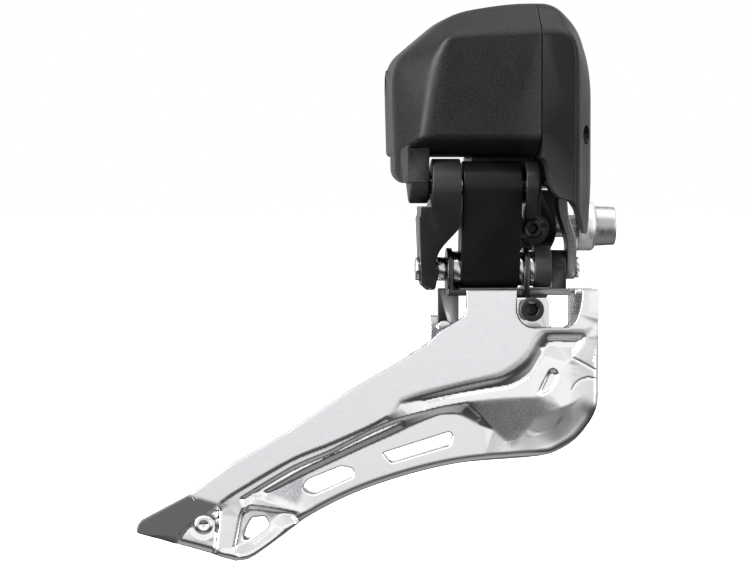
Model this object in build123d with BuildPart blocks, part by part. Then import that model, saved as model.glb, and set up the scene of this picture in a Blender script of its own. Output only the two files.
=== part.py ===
from build123d import *
import os
from math import cos, radians, sin

# A motor-driven front derailleur for a road bicycle, in millimetres.
# +X points to the front of the bicycle, +Y inboard to the seat tube, +Z up.
# The origin is the middle of the frame tab, on the axis of the clamp bolt.
# A parallelogram of an outer link and an inner link swings the chain cage in and out.

# ---- frame tab, clamp bolt and support bolt ----
tab_thickness = 5.0
clamp_bolt_radius = 2.5
clamp_thread_radius = 2.2
clamp_shoulder_radius = 2.9
clamp_head_radius = 4.45
clamp_head_length = 4.6
clamp_tip = -6.3
washer_radius = 5.5
washer_thickness = 4.0
mount_boss_radius = 5.5
saddle_radius = 14.0
support_bolt_radius = 1.9
support_bolt_x = -8.7
support_bolt_z = -0.3
support_bolt_outer_end = -13.4
support_bolt_tip = 11.5
support_boss_radius = 3.6

# ---- the four hinge lines of the parallelogram, all parallel to X ----
link_length = 19.0
link_lean = 16.0
upper_outer = (-22.0, 9.3)
hinge_spacing = 9.5
upper_inner = (upper_outer[0] + hinge_spacing, upper_outer[1])
lean_y = link_length * sin(radians(link_lean))
lean_z = link_length * cos(radians(link_lean))
lower_outer = (upper_outer[0] + lean_y, upper_outer[1] - lean_z)
lower_inner = (upper_inner[0] + lean_y, upper_inner[1] - lean_z)
shaft_radius = 2.0
pin_radius = 1.5
running_gap = 0.05
side_gap = 0.1

# ---- outer link and its two arms ----
link_rear = -25.2
link_front = -12.45
link_top_radius = 5.1
link_low_radius = 4.2
link_cheek = 2.6
arm_rear = -31.7
arm_front = -25.6
front_arm_rear = -11.6
front_arm_thickness = 3.2
front_arm_drop = 4.6

# ---- lower outer hinge: ears of the cage on the long pin ----
rear_ear = -28.05
front_ear = -11.4
ear_thickness = 1.2
ear_radius = 4.6
pin_head_end = -34.8
pin_head_thickness = 1.1
pin_head_radius = 2.5
front_block_rear = -9.1
front_block_length = 3.75
front_block_radius = 4.1

# ---- bracket ----
barrel_rear = -22.2
barrel_front = -13.0
barrel_radius = 3.3
bush_wall = 0.55
bush_length = 3.5
neck_half_height = 2.6
cross_radius = 4.2
cross_front = -9.0

# ---- inner link ----
inner_link_radius = 3.2
inner_tube_radius = 3.0
inner_cheek_rear = -24.2
inner_cheek_thickness = 1.6
inner_tube_front = -4.4
strap_thickness = 2.2
carrier_front_ear = -4.1
carrier_ear_thickness = 3.1
carrier_ear_radius = 3.85
carrier_rear_ear_thickness = 1.5

# ---- motor housing ----
housing_rear = -40.3
seam_x = -8.9
cover_front = 3.0
housing_floor = 15.3
housing_top = 48.5
housing_outer_face = -31.0
housing_shoulder = -22.0
housing_inner_face = 6.0
housing_wall = 1.5
gasket_thickness = 0.3
lobe_front = -32.5
lobe_thickness = 4.2
lobe_wall = 0.8

# ---- gear train ----
gear_module = 0.6
sector_teeth = 30
sector_teeth_cut = 4
sector_hub_radius = 3.0
small_teeth = 10
large_teeth = 20
pinion_teeth = 9
gear_width = 2.0
gear_backlash = 0.2
sector_x = -35.6
first_stage_x = -38.0
arbor_radius = 0.9
motor_shaft_radius = 0.75
motor_radius = 6.0
motor_length = 19.0
mesh_angle = 60.0
motor_angle = 35.0
plate_x = -31.6
plate_thickness = 1.4
plate_eye_radius = 2.7

# ---- chain cage ----
cage_sheet = 1.3
outer_plate_y = -22.2
inner_plate_y = -9.6
inner_sheet = 1.2
cage_top = -13.4
screw_x = -10.0
screw_z = -17.6
screw_radius = 1.5
screw_head_radius = 2.6
screw_head_height = 2.8
tail_x = -80.8
tail_z = -63.7
tail_rivet_radius = 1.4
tail_spacer_radius = 2.4
rivet_radius = 1.0

# ---- wire port ----
port_y = -3.0
port_z = 31.0
port_bore_radius = 2.25
port_depth = 7.0
port_tube_radius = 3.4

os.makedirs("parts", exist_ok=True)


def save(piece, name):
    """Label one finished piece and write it as a STEP file."""
    piece.part.label = name
    export_step(piece.part, f"parts/{name}.step")


def disc(x_start, x_end, centre, radius, mode=Mode.ADD):
    """A round disc or rod along X, added to the part under construction."""
    plane = Plane.YZ.offset(x_start)
    middle = plane.from_local_coords((centre[0], centre[1], (x_end - x_start) / 2))
    with Locations(Location(middle, (0, 90, 0))):
        Cylinder(radius, x_end - x_start, mode=mode)


def link_profile(top, low, top_radius, low_radius):
    """The hull of two discs, drawn in the YZ plane of the current sketch."""
    with Locations(top):
        Circle(top_radius)
    with Locations(low):
        Circle(low_radius)
    make_hull()


# ======== bracket: the forging that is clamped to the frame ========
saddle_x = -tab_thickness / 2
bush_radius = shaft_radius + bush_wall
bolt_hole_gap = 0.15
thread_gap = 0.05
pad_inner = 5.0
pad_outer = upper_inner[0] - 2.5
rib_half = 1.8

with BuildPart() as bracket_body:
    disc(barrel_rear, barrel_front, upper_outer, barrel_radius)
    disc(barrel_rear, cross_front, upper_inner, cross_radius)
    disc(support_bolt_x - rib_half, saddle_x, (0, 0), mount_boss_radius)
    # the neck runs from the hinge barrel to the cross member
    with BuildSketch(Plane.YZ.offset(barrel_rear)):
        with Locations(((upper_outer[0] + upper_inner[0]) / 2, upper_outer[1])):
            Rectangle(hinge_spacing, 2 * neck_half_height)
    extrude(amount=barrel_front - barrel_rear)
    # the pad carries the motor housing
    with BuildSketch(Plane.XY.offset(upper_inner[1])):
        with BuildLine():
            Polyline(
                (barrel_rear, pad_outer),
                (barrel_rear, pad_inner),
                (saddle_x, pad_inner),
                (saddle_x, -mount_boss_radius),
                (cross_front, -mount_boss_radius),
                (cross_front, pad_outer),
                close=True,
            )
        make_face()
    extrude(amount=housing_floor - upper_inner[1])
    # the column drops from the pad to the clamp boss
    with BuildSketch(Plane.YZ.offset(support_bolt_x - rib_half)):
        with Locations((0, upper_inner[1] / 2)):
            Rectangle(2 * mount_boss_radius, upper_inner[1])
    extrude(amount=saddle_x - support_bolt_x + rib_half)
    # the support bolt runs through its own long boss
    with BuildSketch(Plane.XZ.offset(-support_bolt_outer_end - 0.6)):
        with Locations((support_bolt_x, support_bolt_z)):
            Circle(support_boss_radius)
    extrude(amount=support_bolt_outer_end + 0.6 - mount_boss_radius)
    with BuildSketch(Plane.XZ.offset(-support_bolt_outer_end - 0.6)):
        with Locations((support_bolt_x, upper_inner[1] / 2)):
            Rectangle(2 * rib_half, upper_inner[1])
    extrude(amount=support_bolt_outer_end + 0.6 + mount_boss_radius)
    # a saddle, hollow about a vertical line, sits on the curved frame tab
    with Locations((saddle_x + saddle_radius - 1.0, 0, 0)):
        Cylinder(saddle_radius, 4 * mount_boss_radius, mode=Mode.SUBTRACT)
    # bores
    disc(barrel_rear - 1, barrel_front + 1, upper_outer, bush_radius, Mode.SUBTRACT)
    disc(barrel_rear - 1, support_bolt_x + rib_half + 1, upper_inner, pin_radius, Mode.SUBTRACT)
    disc(clamp_tip - 0.4, saddle_x, (0, 0), clamp_thread_radius + thread_gap, Mode.SUBTRACT)
    with Locations(Location((support_bolt_x, 0, support_bolt_z), (90, 0, 0))):
        Cylinder(support_bolt_radius + thread_gap, 60, mode=Mode.SUBTRACT)
save(bracket_body, "bracket_body")

with BuildPart() as output_bushes:
    for start in (barrel_rear, barrel_front - bush_length):
        disc(start, start + bush_length, upper_outer, bush_radius)
    disc(barrel_rear - 1, barrel_front + 1, upper_outer, shaft_radius + running_gap, Mode.SUBTRACT)
save(output_bushes, "output_bushes")

# ======== clamp bolt with its washer ========
washer_rear = tab_thickness / 2
head_rear = washer_rear + washer_thickness
with BuildPart() as clamp_bolt:
    disc(clamp_tip, saddle_x, (0, 0), clamp_thread_radius)
    disc(saddle_x, washer_rear, (0, 0), clamp_bolt_radius)
    disc(washer_rear, head_rear, (0, 0), clamp_shoulder_radius)
    with BuildSketch(Plane.YZ.offset(head_rear)):
        Circle(clamp_head_radius)
    extrude(amount=clamp_head_length, taper=3)
    with BuildSketch(Plane.YZ.offset(head_rear + clamp_head_length)):
        RegularPolygon(4 / 2, 6, major_radius=False)
    extrude(amount=-3.0, mode=Mode.SUBTRACT)
save(clamp_bolt, "clamp_bolt")

with BuildPart() as clamp_washer:
    disc(washer_rear, head_rear, (0, 0), washer_radius)
    chamfer(clamp_washer.edges().filter_by(GeomType.CIRCLE).sort_by(Axis.X)[-1], 0.6)
    disc(washer_rear - 1, head_rear + 1, (0, 0), clamp_shoulder_radius + bolt_hole_gap, Mode.SUBTRACT)
save(clamp_washer, "clamp_washer")

# ======== support bolt: its tip pushes against the seat tube ========
with BuildPart() as support_bolt:
    with BuildSketch(Plane.XZ.offset(-support_bolt_outer_end)):
        with Locations((support_bolt_x, support_bolt_z)):
            Circle(support_bolt_radius)
    extrude(amount=support_bolt_outer_end - support_bolt_tip)
    with BuildSketch(Plane.XZ.offset(-support_bolt_outer_end)):
        with Locations((support_bolt_x, support_bolt_z)):
            RegularPolygon(2 / 2, 6, major_radius=False)
    extrude(amount=-2.5, mode=Mode.SUBTRACT)
save(support_bolt, "support_bolt")

# ======== upper inner hinge pin, fixed in the bracket ========
strap_top_x = -3.4
inner_pin_front = strap_top_x + strap_thickness + 1.2
with BuildPart() as inner_upper_pin:
    disc(inner_cheek_rear - 1.3, inner_pin_front, upper_inner, pin_radius)
save(inner_upper_pin, "inner_upper_pin")

clip_radius = 2.3
with BuildPart() as inner_upper_clips:
    disc(inner_cheek_rear - 0.9, inner_cheek_rear - side_gap, upper_inner, clip_radius)
    disc(inner_pin_front - 0.9, inner_pin_front - 0.2, upper_inner, clip_radius)
    disc(inner_cheek_rear - 2, inner_pin_front + 1, upper_inner, pin_radius, Mode.SUBTRACT)
save(inner_upper_clips, "inner_upper_clips")

# ======== outer link: the wide link behind the satin skin ========
channel_gap = 0.4
with BuildPart() as outer_link:
    with BuildSketch(Plane.YZ.offset(link_rear)):
        link_profile(upper_outer, lower_outer, link_top_radius, link_low_radius)
    extrude(amount=link_front - link_rear)
    # a channel, open inboard, clears the hinge barrel and the neck of the bracket
    channel_rear = link_rear + link_cheek
    disc(channel_rear, link_front + 1, upper_outer, barrel_radius + channel_gap, Mode.SUBTRACT)
    with BuildSketch(Plane.YZ.offset(channel_rear)):
        with Locations((upper_outer[0] + link_top_radius, upper_outer[1] + 1)):
            Rectangle(2 * link_top_radius, 2 * (barrel_radius + 2.3))
    extrude(amount=link_front + 1 - channel_rear, mode=Mode.SUBTRACT)
    disc(link_rear - 1, link_front + 1, upper_outer, shaft_radius, Mode.SUBTRACT)
    disc(link_rear - 1, link_front + 1, lower_outer, pin_radius, Mode.SUBTRACT)
save(outer_link, "outer_link")

# the cranked drive arm behind the outer link
arm_top_radius = 5.6
arm_low_radius = 4.6
arm_low_rear = -33.7
arm_low_front = -30.5
spacer_rear = -30.1
spacer_radius = 2.6
with BuildPart() as rear_link_arm:
    with BuildSketch(Plane.YZ.offset(pin_head_end)):
        link_profile(upper_outer, lower_outer, arm_top_radius, arm_low_radius)
    extrude(amount=arm_front - pin_head_end)
    arm_top = upper_outer[1] + arm_top_radius
    arm_bottom = lower_outer[1] - arm_low_radius
    with BuildSketch(Plane.XZ.offset(-upper_outer[0] + 2 * arm_top_radius)):
        with BuildLine():
            Polyline((arm_rear, arm_top), (arm_front, arm_top), (arm_front, 6.2))
            Spline((arm_front, 6.2), (-26.6, -1.0), (-29.4, -4.2), (-30.2, -9.7))
            Polyline((-30.2, -9.7), (arm_low_front, arm_bottom), (-32.4, arm_bottom))
            Polyline((-32.4, arm_bottom), (arm_low_rear, -12.3), (-34.6, 2.3), (-34.3, 2.6))
            Polyline((-34.3, 2.6), (-34.3, 4.6), (-32.1, 4.6), (arm_rear, arm_top))
        make_face()
    extrude(amount=-4 * arm_top_radius - lean_y, mode=Mode.INTERSECT)
    disc(pin_head_end - 1, arm_front + 1, upper_outer, shaft_radius, Mode.SUBTRACT)
    disc(pin_head_end - 1, arm_front + 1, lower_outer, pin_radius, Mode.SUBTRACT)
    # the flats under the head of the lower pin and under its spacer
    disc(spacer_rear, arm_front + 1, lower_outer, spacer_radius + 0.3, Mode.SUBTRACT)
    head_flat = pin_head_end + pin_head_thickness
    disc(pin_head_end - 1, head_flat, lower_outer, pin_head_radius + 0.2, Mode.SUBTRACT)
save(rear_link_arm, "rear_link_arm")

front_arm_front = front_arm_rear + front_arm_thickness
arm_end = (
    upper_outer[0] + front_arm_drop * sin(radians(link_lean)),
    upper_outer[1] - front_arm_drop * cos(radians(link_lean)),
)
with BuildPart() as front_link_arm:
    with BuildSketch(Plane.YZ.offset(front_arm_rear)):
        link_profile(upper_outer, arm_end, link_top_radius, 3.4)
    extrude(amount=front_arm_thickness)
    chamfer(front_link_arm.faces().sort_by(Axis.X)[-1].edges(), 0.5)
    disc(front_arm_rear - 1, front_arm_front + 1, upper_outer, shaft_radius, Mode.SUBTRACT)
save(front_link_arm, "front_link_arm")

shaft_rear = sector_x - 0.1
with BuildPart() as output_shaft:
    disc(shaft_rear, front_arm_front, upper_outer, shaft_radius)
save(output_shaft, "output_shaft")

# ======== gear train ========
sector_radius = gear_module * sector_teeth / 2
small_radius = gear_module * small_teeth / 2
large_radius = gear_module * large_teeth / 2
pinion_radius = gear_module * pinion_teeth / 2
centre_distance = sector_radius + small_radius
arbor = (
    upper_outer[0] + centre_distance * cos(radians(mesh_angle)),
    upper_outer[1] + centre_distance * sin(radians(mesh_angle)),
)
stage_distance = large_radius + pinion_radius
motor_axis = (
    arbor[0] + stage_distance * cos(radians(motor_angle)),
    arbor[1] + stage_distance * sin(radians(motor_angle)),
)
tooth_pitch = 3.14159265 * gear_module
addendum = 0.75 * gear_module
dedendum = 1.05 * gear_module


def gear_teeth(x_start, centre, teeth, first_angle, count):
    """Straight-flanked teeth round a centre, added to the part under construction."""
    pitch_radius = gear_module * teeth / 2
    pitch_half = (tooth_pitch / 2 - gear_backlash) / 2
    slope = 0.36
    tip_half = pitch_half - slope * addendum
    root_half = pitch_half + slope * dedendum
    with BuildSketch(Plane.YZ.offset(x_start)) as tooth_row:
        with Locations(centre):
            with PolarLocations(pitch_radius, count, first_angle, count * 360 / teeth):
                Polygon(
                    (-dedendum - 0.3, -root_half),
                    (-dedendum, -root_half),
                    (addendum, -tip_half),
                    (addendum, tip_half),
                    (-dedendum, root_half),
                    (-dedendum - 0.3, root_half),
                    align=None,
                )
    extrude(tooth_row.sketch, amount=gear_width)


# the sector on the output shaft: at rest its first tooth stands on the line of centres
sector_middle = mesh_angle + (sector_teeth_cut - 1) / 2 * 360 / sector_teeth
sector_span = sector_teeth_cut * 360 / sector_teeth
with BuildPart() as sector_gear:
    root_radius = sector_radius - dedendum
    wedge_x = 2 * root_radius * cos(radians(sector_span / 2))
    wedge_y = 2 * root_radius * sin(radians(sector_span / 2))
    with BuildSketch(Plane.YZ.offset(sector_x)):
        with Locations(upper_outer):
            Circle(root_radius)
            Polygon(
                (0, 0),
                (wedge_x, -wedge_y),
                (wedge_x, wedge_y),
                rotation=sector_middle,
                align=None,
                mode=Mode.INTERSECT,
            )
            Circle(sector_hub_radius)
    extrude(amount=gear_width)
    gear_teeth(sector_x, upper_outer, sector_teeth, mesh_angle, sector_teeth_cut)
    disc(sector_x - 1, sector_x + gear_width + 1, upper_outer, shaft_radius, Mode.SUBTRACT)
save(sector_gear, "sector_gear")

compound_front = sector_x + gear_width
with BuildPart() as compound_gear:
    disc(first_stage_x, compound_front, arbor, small_radius - dedendum)
    disc(first_stage_x, first_stage_x + gear_width, arbor, large_radius - dedendum)
    gear_teeth(sector_x, arbor, small_teeth, mesh_angle + 180 + 180 / small_teeth, small_teeth)
    gear_teeth(first_stage_x, arbor, large_teeth, motor_angle, large_teeth)
    disc(first_stage_x - 1, compound_front + 1, arbor, arbor_radius + running_gap, Mode.SUBTRACT)
save(compound_gear, "compound_gear")

with BuildPart() as gear_arbor:
    disc(housing_rear + housing_wall, plate_x + plate_thickness, arbor, arbor_radius)
save(gear_arbor, "gear_arbor")

motor_rear = plate_x + plate_thickness
with BuildPart() as motor_pinion:
    disc(first_stage_x, first_stage_x + gear_width, motor_axis, pinion_radius - dedendum)
    pinion_phase = motor_angle + 180 + 180 / pinion_teeth
    gear_teeth(first_stage_x, motor_axis, pinion_teeth, pinion_phase, pinion_teeth)
    disc(first_stage_x, first_stage_x + gear_width, motor_axis, motor_shaft_radius, Mode.SUBTRACT)
save(motor_pinion, "motor_pinion")

with BuildPart() as motor_shaft:
    disc(first_stage_x - 0.1, motor_rear + motor_length - 2, motor_axis, motor_shaft_radius)
save(motor_shaft, "motor_shaft")

with BuildPart() as motor_can:
    disc(motor_rear, motor_rear + motor_length, motor_axis, motor_radius)
    fillet(motor_can.edges().filter_by(GeomType.CIRCLE).sort_by(Axis.X)[-1], 0.8)
    bore = motor_shaft_radius + running_gap
    disc(motor_rear - 1, motor_rear + motor_length - 1.5, motor_axis, bore, Mode.SUBTRACT)
save(motor_can, "motor_can")

with BuildPart() as gear_plate:
    with BuildSketch(Plane.YZ.offset(plate_x)):
        with Locations(arbor):
            Circle(plate_eye_radius)
        with Locations(motor_axis):
            Circle(motor_radius + 0.6)
        make_hull()
    extrude(amount=plate_thickness)
    disc(plate_x - 1, motor_rear + 1, arbor, arbor_radius, Mode.SUBTRACT)
    disc(plate_x - 1, motor_rear + 1, motor_axis, bore, Mode.SUBTRACT)
save(gear_plate, "gear_plate")

# ======== motor housing and front cover: one faceted box, cut at the seam ========
outer_face_outline = (
    (-34.6, housing_floor + 4.0),
    (-31.1, 35.3),
    (-30.2, 39.4),
    (-28.6, 41.2),
    (-15.0, 41.9),
    (-4.6, 42.2),
    (-2.2, 41.0),
    (-1.1, 38.4),
    (-1.1, housing_floor + 4.0),
)
side_outline = (
    (housing_rear + 0.5, housing_floor),
    (housing_rear, 35.4),
    (-34.0, 40.8),
    (-27.5, 46.2),
    (-15.0, housing_top - 0.1),
    (-5.1, housing_top),
    (0.0, 43.0),
    (cover_front, 33.2),
    (cover_front, housing_floor),
)
back_outline = (
    (housing_rear + 2.5, housing_floor),
    (housing_rear + 2.0, 34.4),
    (-32.8, 39.0),
    (-26.8, 44.0),
    (-15.0, housing_top - 2.4),
    (-5.8, housing_top - 2.3),
    (-1.6, 41.6),
    (cover_front - 1.6, 32.8),
    (cover_front - 1.6, housing_floor),
)


def faceted_box(inset):
    """The whole housing as one block, every wall moved in by the inset."""
    stations = (
        (housing_outer_face + inset, outer_face_outline),
        (housing_shoulder, side_outline),
        (housing_inner_face - 4.0, side_outline),
        (housing_inner_face - inset, back_outline),
    )
    with BuildPart() as block:
        for y, outline in stations:
            with BuildSketch(Plane.XZ.offset(-y)):
                with BuildLine():
                    Polyline(*outline, close=True)
                make_face()
                if inset > 0:
                    offset(amount=-inset, kind=Kind.INTERSECTION)
        loft(ruled=True)
    return block.part


housing_block = faceted_box(0)
housing_hollow = faceted_box(housing_wall)

lobe_rear = lobe_front - lobe_thickness
lobe_radius = 4.0
lobe_corner = (upper_outer[0] + 8.0, upper_outer[1] + 3.9)
lobe_corner_radius = 3.0
gear_lobe_bottom = 9.6
gear_lobe_front = lobe_front
gear_lobe_outer = -26.0
gear_lobe_inner = -8.5


def lobe(wall):
    """The gear lobes under the housing, or their hollows when a wall is given."""
    with BuildPart() as body:
        # the sector lobe: round about the output shaft, wide where the sector swings
        with BuildSketch(Plane.YZ.offset(lobe_rear + wall)):
            with Locations(upper_outer):
                Circle(lobe_radius - wall)
            with Locations(lobe_corner):
                Circle(lobe_corner_radius - wall)
            lobe_left = upper_outer[0] - lobe_radius + wall
            lobe_right = lobe_corner[0] + lobe_corner_radius - wall
            with Locations(((lobe_left + lobe_right) / 2, housing_floor + 1.2)):
                Rectangle(lobe_right - lobe_left, 2.4)
            make_hull()
        extrude(amount=lobe_thickness - 2 * wall)
        # the gear lobe: the lower rear corner of the housing, round the first gear pair
        low = gear_lobe_bottom + wall
        with BuildSketch(Plane.XZ.offset(-gear_lobe_outer - wall)):
            with BuildLine():
                Polyline(
                    (housing_rear + 0.6 + wall, housing_floor + 2),
                    (housing_rear + 0.8 + wall, low + 2.4),
                    (housing_rear + 2.8 + wall / 2, low),
                    (gear_lobe_front - wall, low),
                    (gear_lobe_front - wall, housing_floor + 2),
                    close=True,
                )
            make_face()
        extrude(amount=gear_lobe_outer - gear_lobe_inner + 2 * wall)
    return body.part


lobe_block = lobe(0)
lobe_hollow = lobe(lobe_wall)
screw_places = ((2.7, 20.5), (2.7, 37.5), (-25.5, 20.0))
case_screw_radius = 1.0
case_screw_head = 1.9
case_screw_seat = -4.0
boss_rear = -15.0
boss_wall = 1.4
case_screw_gap = 0.05

port_mouth = housing_rear + 0.1
port_end = port_mouth + port_depth + 0.9

with BuildPart() as motor_housing:
    add(housing_block)
    add(lobe_block)
    split(bisect_by=Plane.YZ.offset(seam_x - gasket_thickness / 2), keep=Keep.BOTTOM)
    add(housing_hollow, mode=Mode.SUBTRACT)
    add(lobe_hollow, mode=Mode.SUBTRACT)
    for place in screw_places:
        disc(boss_rear, seam_x - gasket_thickness / 2, place, case_screw_radius + boss_wall)
    # the boss that holds the rear end of the gear arbor, and the socket of the wire port
    disc(housing_rear + 0.6, first_stage_x - 0.2, arbor, arbor_radius + 1.0)
    disc(housing_rear + 0.6, port_end - 1, (port_y, port_z), port_tube_radius + 1)
    disc(housing_rear + housing_wall, plate_x, arbor, arbor_radius, Mode.SUBTRACT)
    disc(housing_rear - 1, port_end + 1, (port_y, port_z), port_tube_radius, Mode.SUBTRACT)
    disc(lobe_front - 2, lobe_front + 1, upper_outer, shaft_radius + running_gap, Mode.SUBTRACT)
    for place in screw_places:
        hole = case_screw_radius + case_screw_gap
        disc(boss_rear - 1, seam_x, place, hole, Mode.SUBTRACT)
save(motor_housing, "motor_housing")

fin_outer = housing_outer_face
fin_inner = -20.6
with BuildPart() as fin:
    with BuildSketch(Plane.XZ.offset(-fin_outer)):
        with BuildLine():
            Polyline((cover_front - 0.4, 19.5), (cover_front - 0.4, 6.9), (1.76, -0.7))
            ThreePointArc((1.76, -0.7), (1.2, -1.2), (0.7, -0.8))
            Spline((0.7, -0.8), (-0.3, 2.5), (-2.6, 6.05), (-5.2, 6.8), (-7.0, 9.2), (-7.4, 14.0))
            Polyline((-7.4, 14.0), (-7.4, 19.5), (cover_front - 0.4, 19.5))
        make_face()
    extrude(amount=fin_outer - fin_inner)
    # its outer corner follows the slanted corner of the housing
    with BuildSketch(Plane.XY.offset(-10)):
        with BuildLine():
            Polyline(
                (-8.0, housing_outer_face),
                (outer_face_outline[-1][0], housing_outer_face),
                (cover_front, housing_shoulder),
                (cover_front, fin_inner + 1),
                (-8.0, fin_inner + 1),
                close=True,
            )
        make_face()
    extrude(amount=40, mode=Mode.INTERSECT)

with BuildPart() as front_cover:
    add(housing_block)
    split(bisect_by=Plane.YZ.offset(seam_x + gasket_thickness / 2), keep=Keep.TOP)
    add(fin.part)
    add(housing_hollow, mode=Mode.SUBTRACT)
    for place in screw_places:
        disc(seam_x + gasket_thickness / 2, cover_front - 1.5, place, case_screw_head + boss_wall)
    for place in screw_places:
        disc(seam_x, cover_front, place, case_screw_radius + case_screw_gap, Mode.SUBTRACT)
        disc(case_screw_seat, cover_front + 1, place, case_screw_head + 0.2, Mode.SUBTRACT)
save(front_cover, "front_cover")

with BuildPart() as case_screws:
    for place in screw_places:
        disc(boss_rear + 1, case_screw_seat, place, case_screw_radius)
        disc(case_screw_seat, case_screw_seat + 1.6, place, case_screw_head)
        with BuildSketch(Plane.YZ.offset(case_screw_seat + 1.6)):
            with Locations(place):
                RegularPolygon(0.9, 6)
        extrude(amount=-1.0, mode=Mode.SUBTRACT)
save(case_screws, "case_screws")

with BuildPart() as housing_gasket:
    add(housing_block)
    add(housing_hollow, mode=Mode.SUBTRACT)
    split(bisect_by=Plane.YZ.offset(seam_x - gasket_thickness / 2), keep=Keep.TOP)
    split(bisect_by=Plane.YZ.offset(seam_x + gasket_thickness / 2), keep=Keep.BOTTOM)
    for place in screw_places:
        hole = case_screw_radius + case_screw_gap
        disc(seam_x - 1, seam_x + 1, place, hole, Mode.SUBTRACT)
save(housing_gasket, "housing_gasket")

with BuildPart() as shaft_seal:
    disc(lobe_front, lobe_front + 0.35, upper_outer, shaft_radius + 1.3)
    disc(lobe_front - 1, arm_rear + 1, upper_outer, shaft_radius + running_gap, Mode.SUBTRACT)
save(shaft_seal, "shaft_seal")

with BuildPart() as wire_port:
    disc(port_mouth, port_end, (port_y, port_z), port_tube_radius)
    disc(port_mouth - 1, port_mouth + port_depth, (port_y, port_z), port_bore_radius, Mode.SUBTRACT)
save(wire_port, "wire_port")

board_y = 2.2
with BuildPart() as control_board:
    with BuildSketch(Plane.XZ.offset(-board_y)):
        with Locations((-25.0, 28.5)):
            Rectangle(17, 19)
    extrude(amount=-1.0)
    # three chips on the board's outboard face
    with BuildSketch(Plane.XZ.offset(-board_y)):
        with Locations((-28.5, 34.0), (-21.0, 32.5), (-22.0, 23.0)):
            Rectangle(4.5, 4.5)
    extrude(amount=1.0)
save(control_board, "control_board")

# ======== lower outer hinge: pin, spacer, washers and front block ========
front_block_front = front_block_rear + front_block_length
with BuildPart() as lower_outer_pin:
    disc(pin_head_end, pin_head_end + pin_head_thickness, lower_outer, pin_head_radius)
    disc(pin_head_end, front_block_front, lower_outer, pin_radius)
save(lower_outer_pin, "lower_outer_pin")

ear_gap = 0.08
with BuildPart() as front_pivot_block:
    with BuildSketch(Plane.YZ.offset(front_block_rear)):
        link_profile((lower_outer[0], lower_outer[1] + 2.6), lower_outer, 2.5, front_block_radius)
    extrude(amount=front_block_length)
    disc(front_block_rear - 1, front_block_front + 1, lower_outer, pin_radius, Mode.SUBTRACT)
save(front_pivot_block, "front_pivot_block")

with BuildPart() as pin_spacers:
    disc(spacer_rear, rear_ear - ear_gap, lower_outer, spacer_radius)
    disc(rear_ear + ear_thickness + ear_gap, link_rear, lower_outer, 3.9)
    disc(link_front, front_ear - ear_gap, lower_outer, 3.7)
    disc(front_ear + ear_thickness + ear_gap, front_block_rear, lower_outer, 3.8)
    disc(spacer_rear - 1, front_block_rear + 1, lower_outer, pin_radius, Mode.SUBTRACT)
save(pin_spacers, "pin_spacers")

# ======== inner link ========
tube_rear = inner_cheek_rear
cheek_front = inner_cheek_rear + inner_cheek_thickness
with BuildPart() as inner_link:
    with BuildSketch(Plane.YZ.offset(inner_cheek_rear)):
        link_profile(upper_inner, lower_inner, inner_link_radius, inner_link_radius)
    extrude(amount=inner_cheek_thickness)
    disc(cheek_front, inner_tube_front, lower_inner, inner_tube_radius)
    gap_radius = pin_radius + running_gap
    disc(tube_rear - 1, cheek_front + 1, upper_inner, gap_radius, Mode.SUBTRACT)
    disc(tube_rear - 1, inner_tube_front + 1, lower_inner, gap_radius, Mode.SUBTRACT)
save(inner_link, "inner_link")

strap_low_x = carrier_front_ear + carrier_ear_thickness + side_gap
strap_reach = 4 * inner_link_radius
with BuildPart() as inner_link_strap:
    with BuildSketch(Plane.YZ.offset(strap_top_x - 1)):
        link_profile(upper_inner, lower_inner, inner_link_radius, inner_link_radius - 0.6)
    extrude(amount=strap_low_x - strap_top_x + strap_thickness + 2)
    # the steel strap is cranked forward towards its lower end
    strap_top = upper_inner[1] + inner_link_radius
    strap_bottom = lower_inner[1] - inner_link_radius
    width = strap_thickness
    with BuildSketch(Plane.XZ.offset(-upper_inner[0] + strap_reach)):
        with BuildLine():
            Polyline((strap_top_x, 6.0), (strap_top_x, strap_top), (strap_top_x + width, strap_top))
            Line((strap_top_x + width, strap_top), (strap_top_x + width, 6.0))
            Spline(
                (strap_top_x + width, 6.0),
                (strap_low_x + width, -5.4),
                tangents=((0, -1), (0, -1)),
            )
            Polyline((strap_low_x + width, -5.4), (strap_low_x + width, strap_bottom))
            Line((strap_low_x + width, strap_bottom), (strap_low_x, strap_bottom))
            Line((strap_low_x, strap_bottom), (strap_low_x, -5.4))
            Spline((strap_low_x, -5.4), (strap_top_x, 6.0), tangents=((0, 1), (0, 1)))
        make_face()
    extrude(amount=-2 * strap_reach - hinge_spacing, mode=Mode.INTERSECT)
    disc(strap_top_x - 2, strap_low_x + width + 2, upper_inner, gap_radius, Mode.SUBTRACT)
    disc(strap_top_x - 2, strap_low_x + width + 2, lower_inner, pin_radius, Mode.SUBTRACT)
save(inner_link_strap, "inner_link_strap")

# ======== lower inner hinge pin, fixed in the strap ========
carrier_rear_ear = inner_cheek_rear - 0.3 - carrier_rear_ear_thickness
inner_low_front = strap_low_x + strap_thickness + 1.0
with BuildPart() as lower_inner_pin:
    disc(carrier_rear_ear - 1.2, inner_low_front, lower_inner, pin_radius)
save(lower_inner_pin, "lower_inner_pin")

with BuildPart() as lower_inner_clips:
    disc(carrier_rear_ear - 0.9, carrier_rear_ear - side_gap, lower_inner, clip_radius)
    disc(inner_low_front - 0.9, inner_low_front - 0.2, lower_inner, clip_radius)
    disc(carrier_rear_ear - 2, inner_low_front + 1, lower_inner, pin_radius, Mode.SUBTRACT)
save(lower_inner_clips, "lower_inner_clips")

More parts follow.
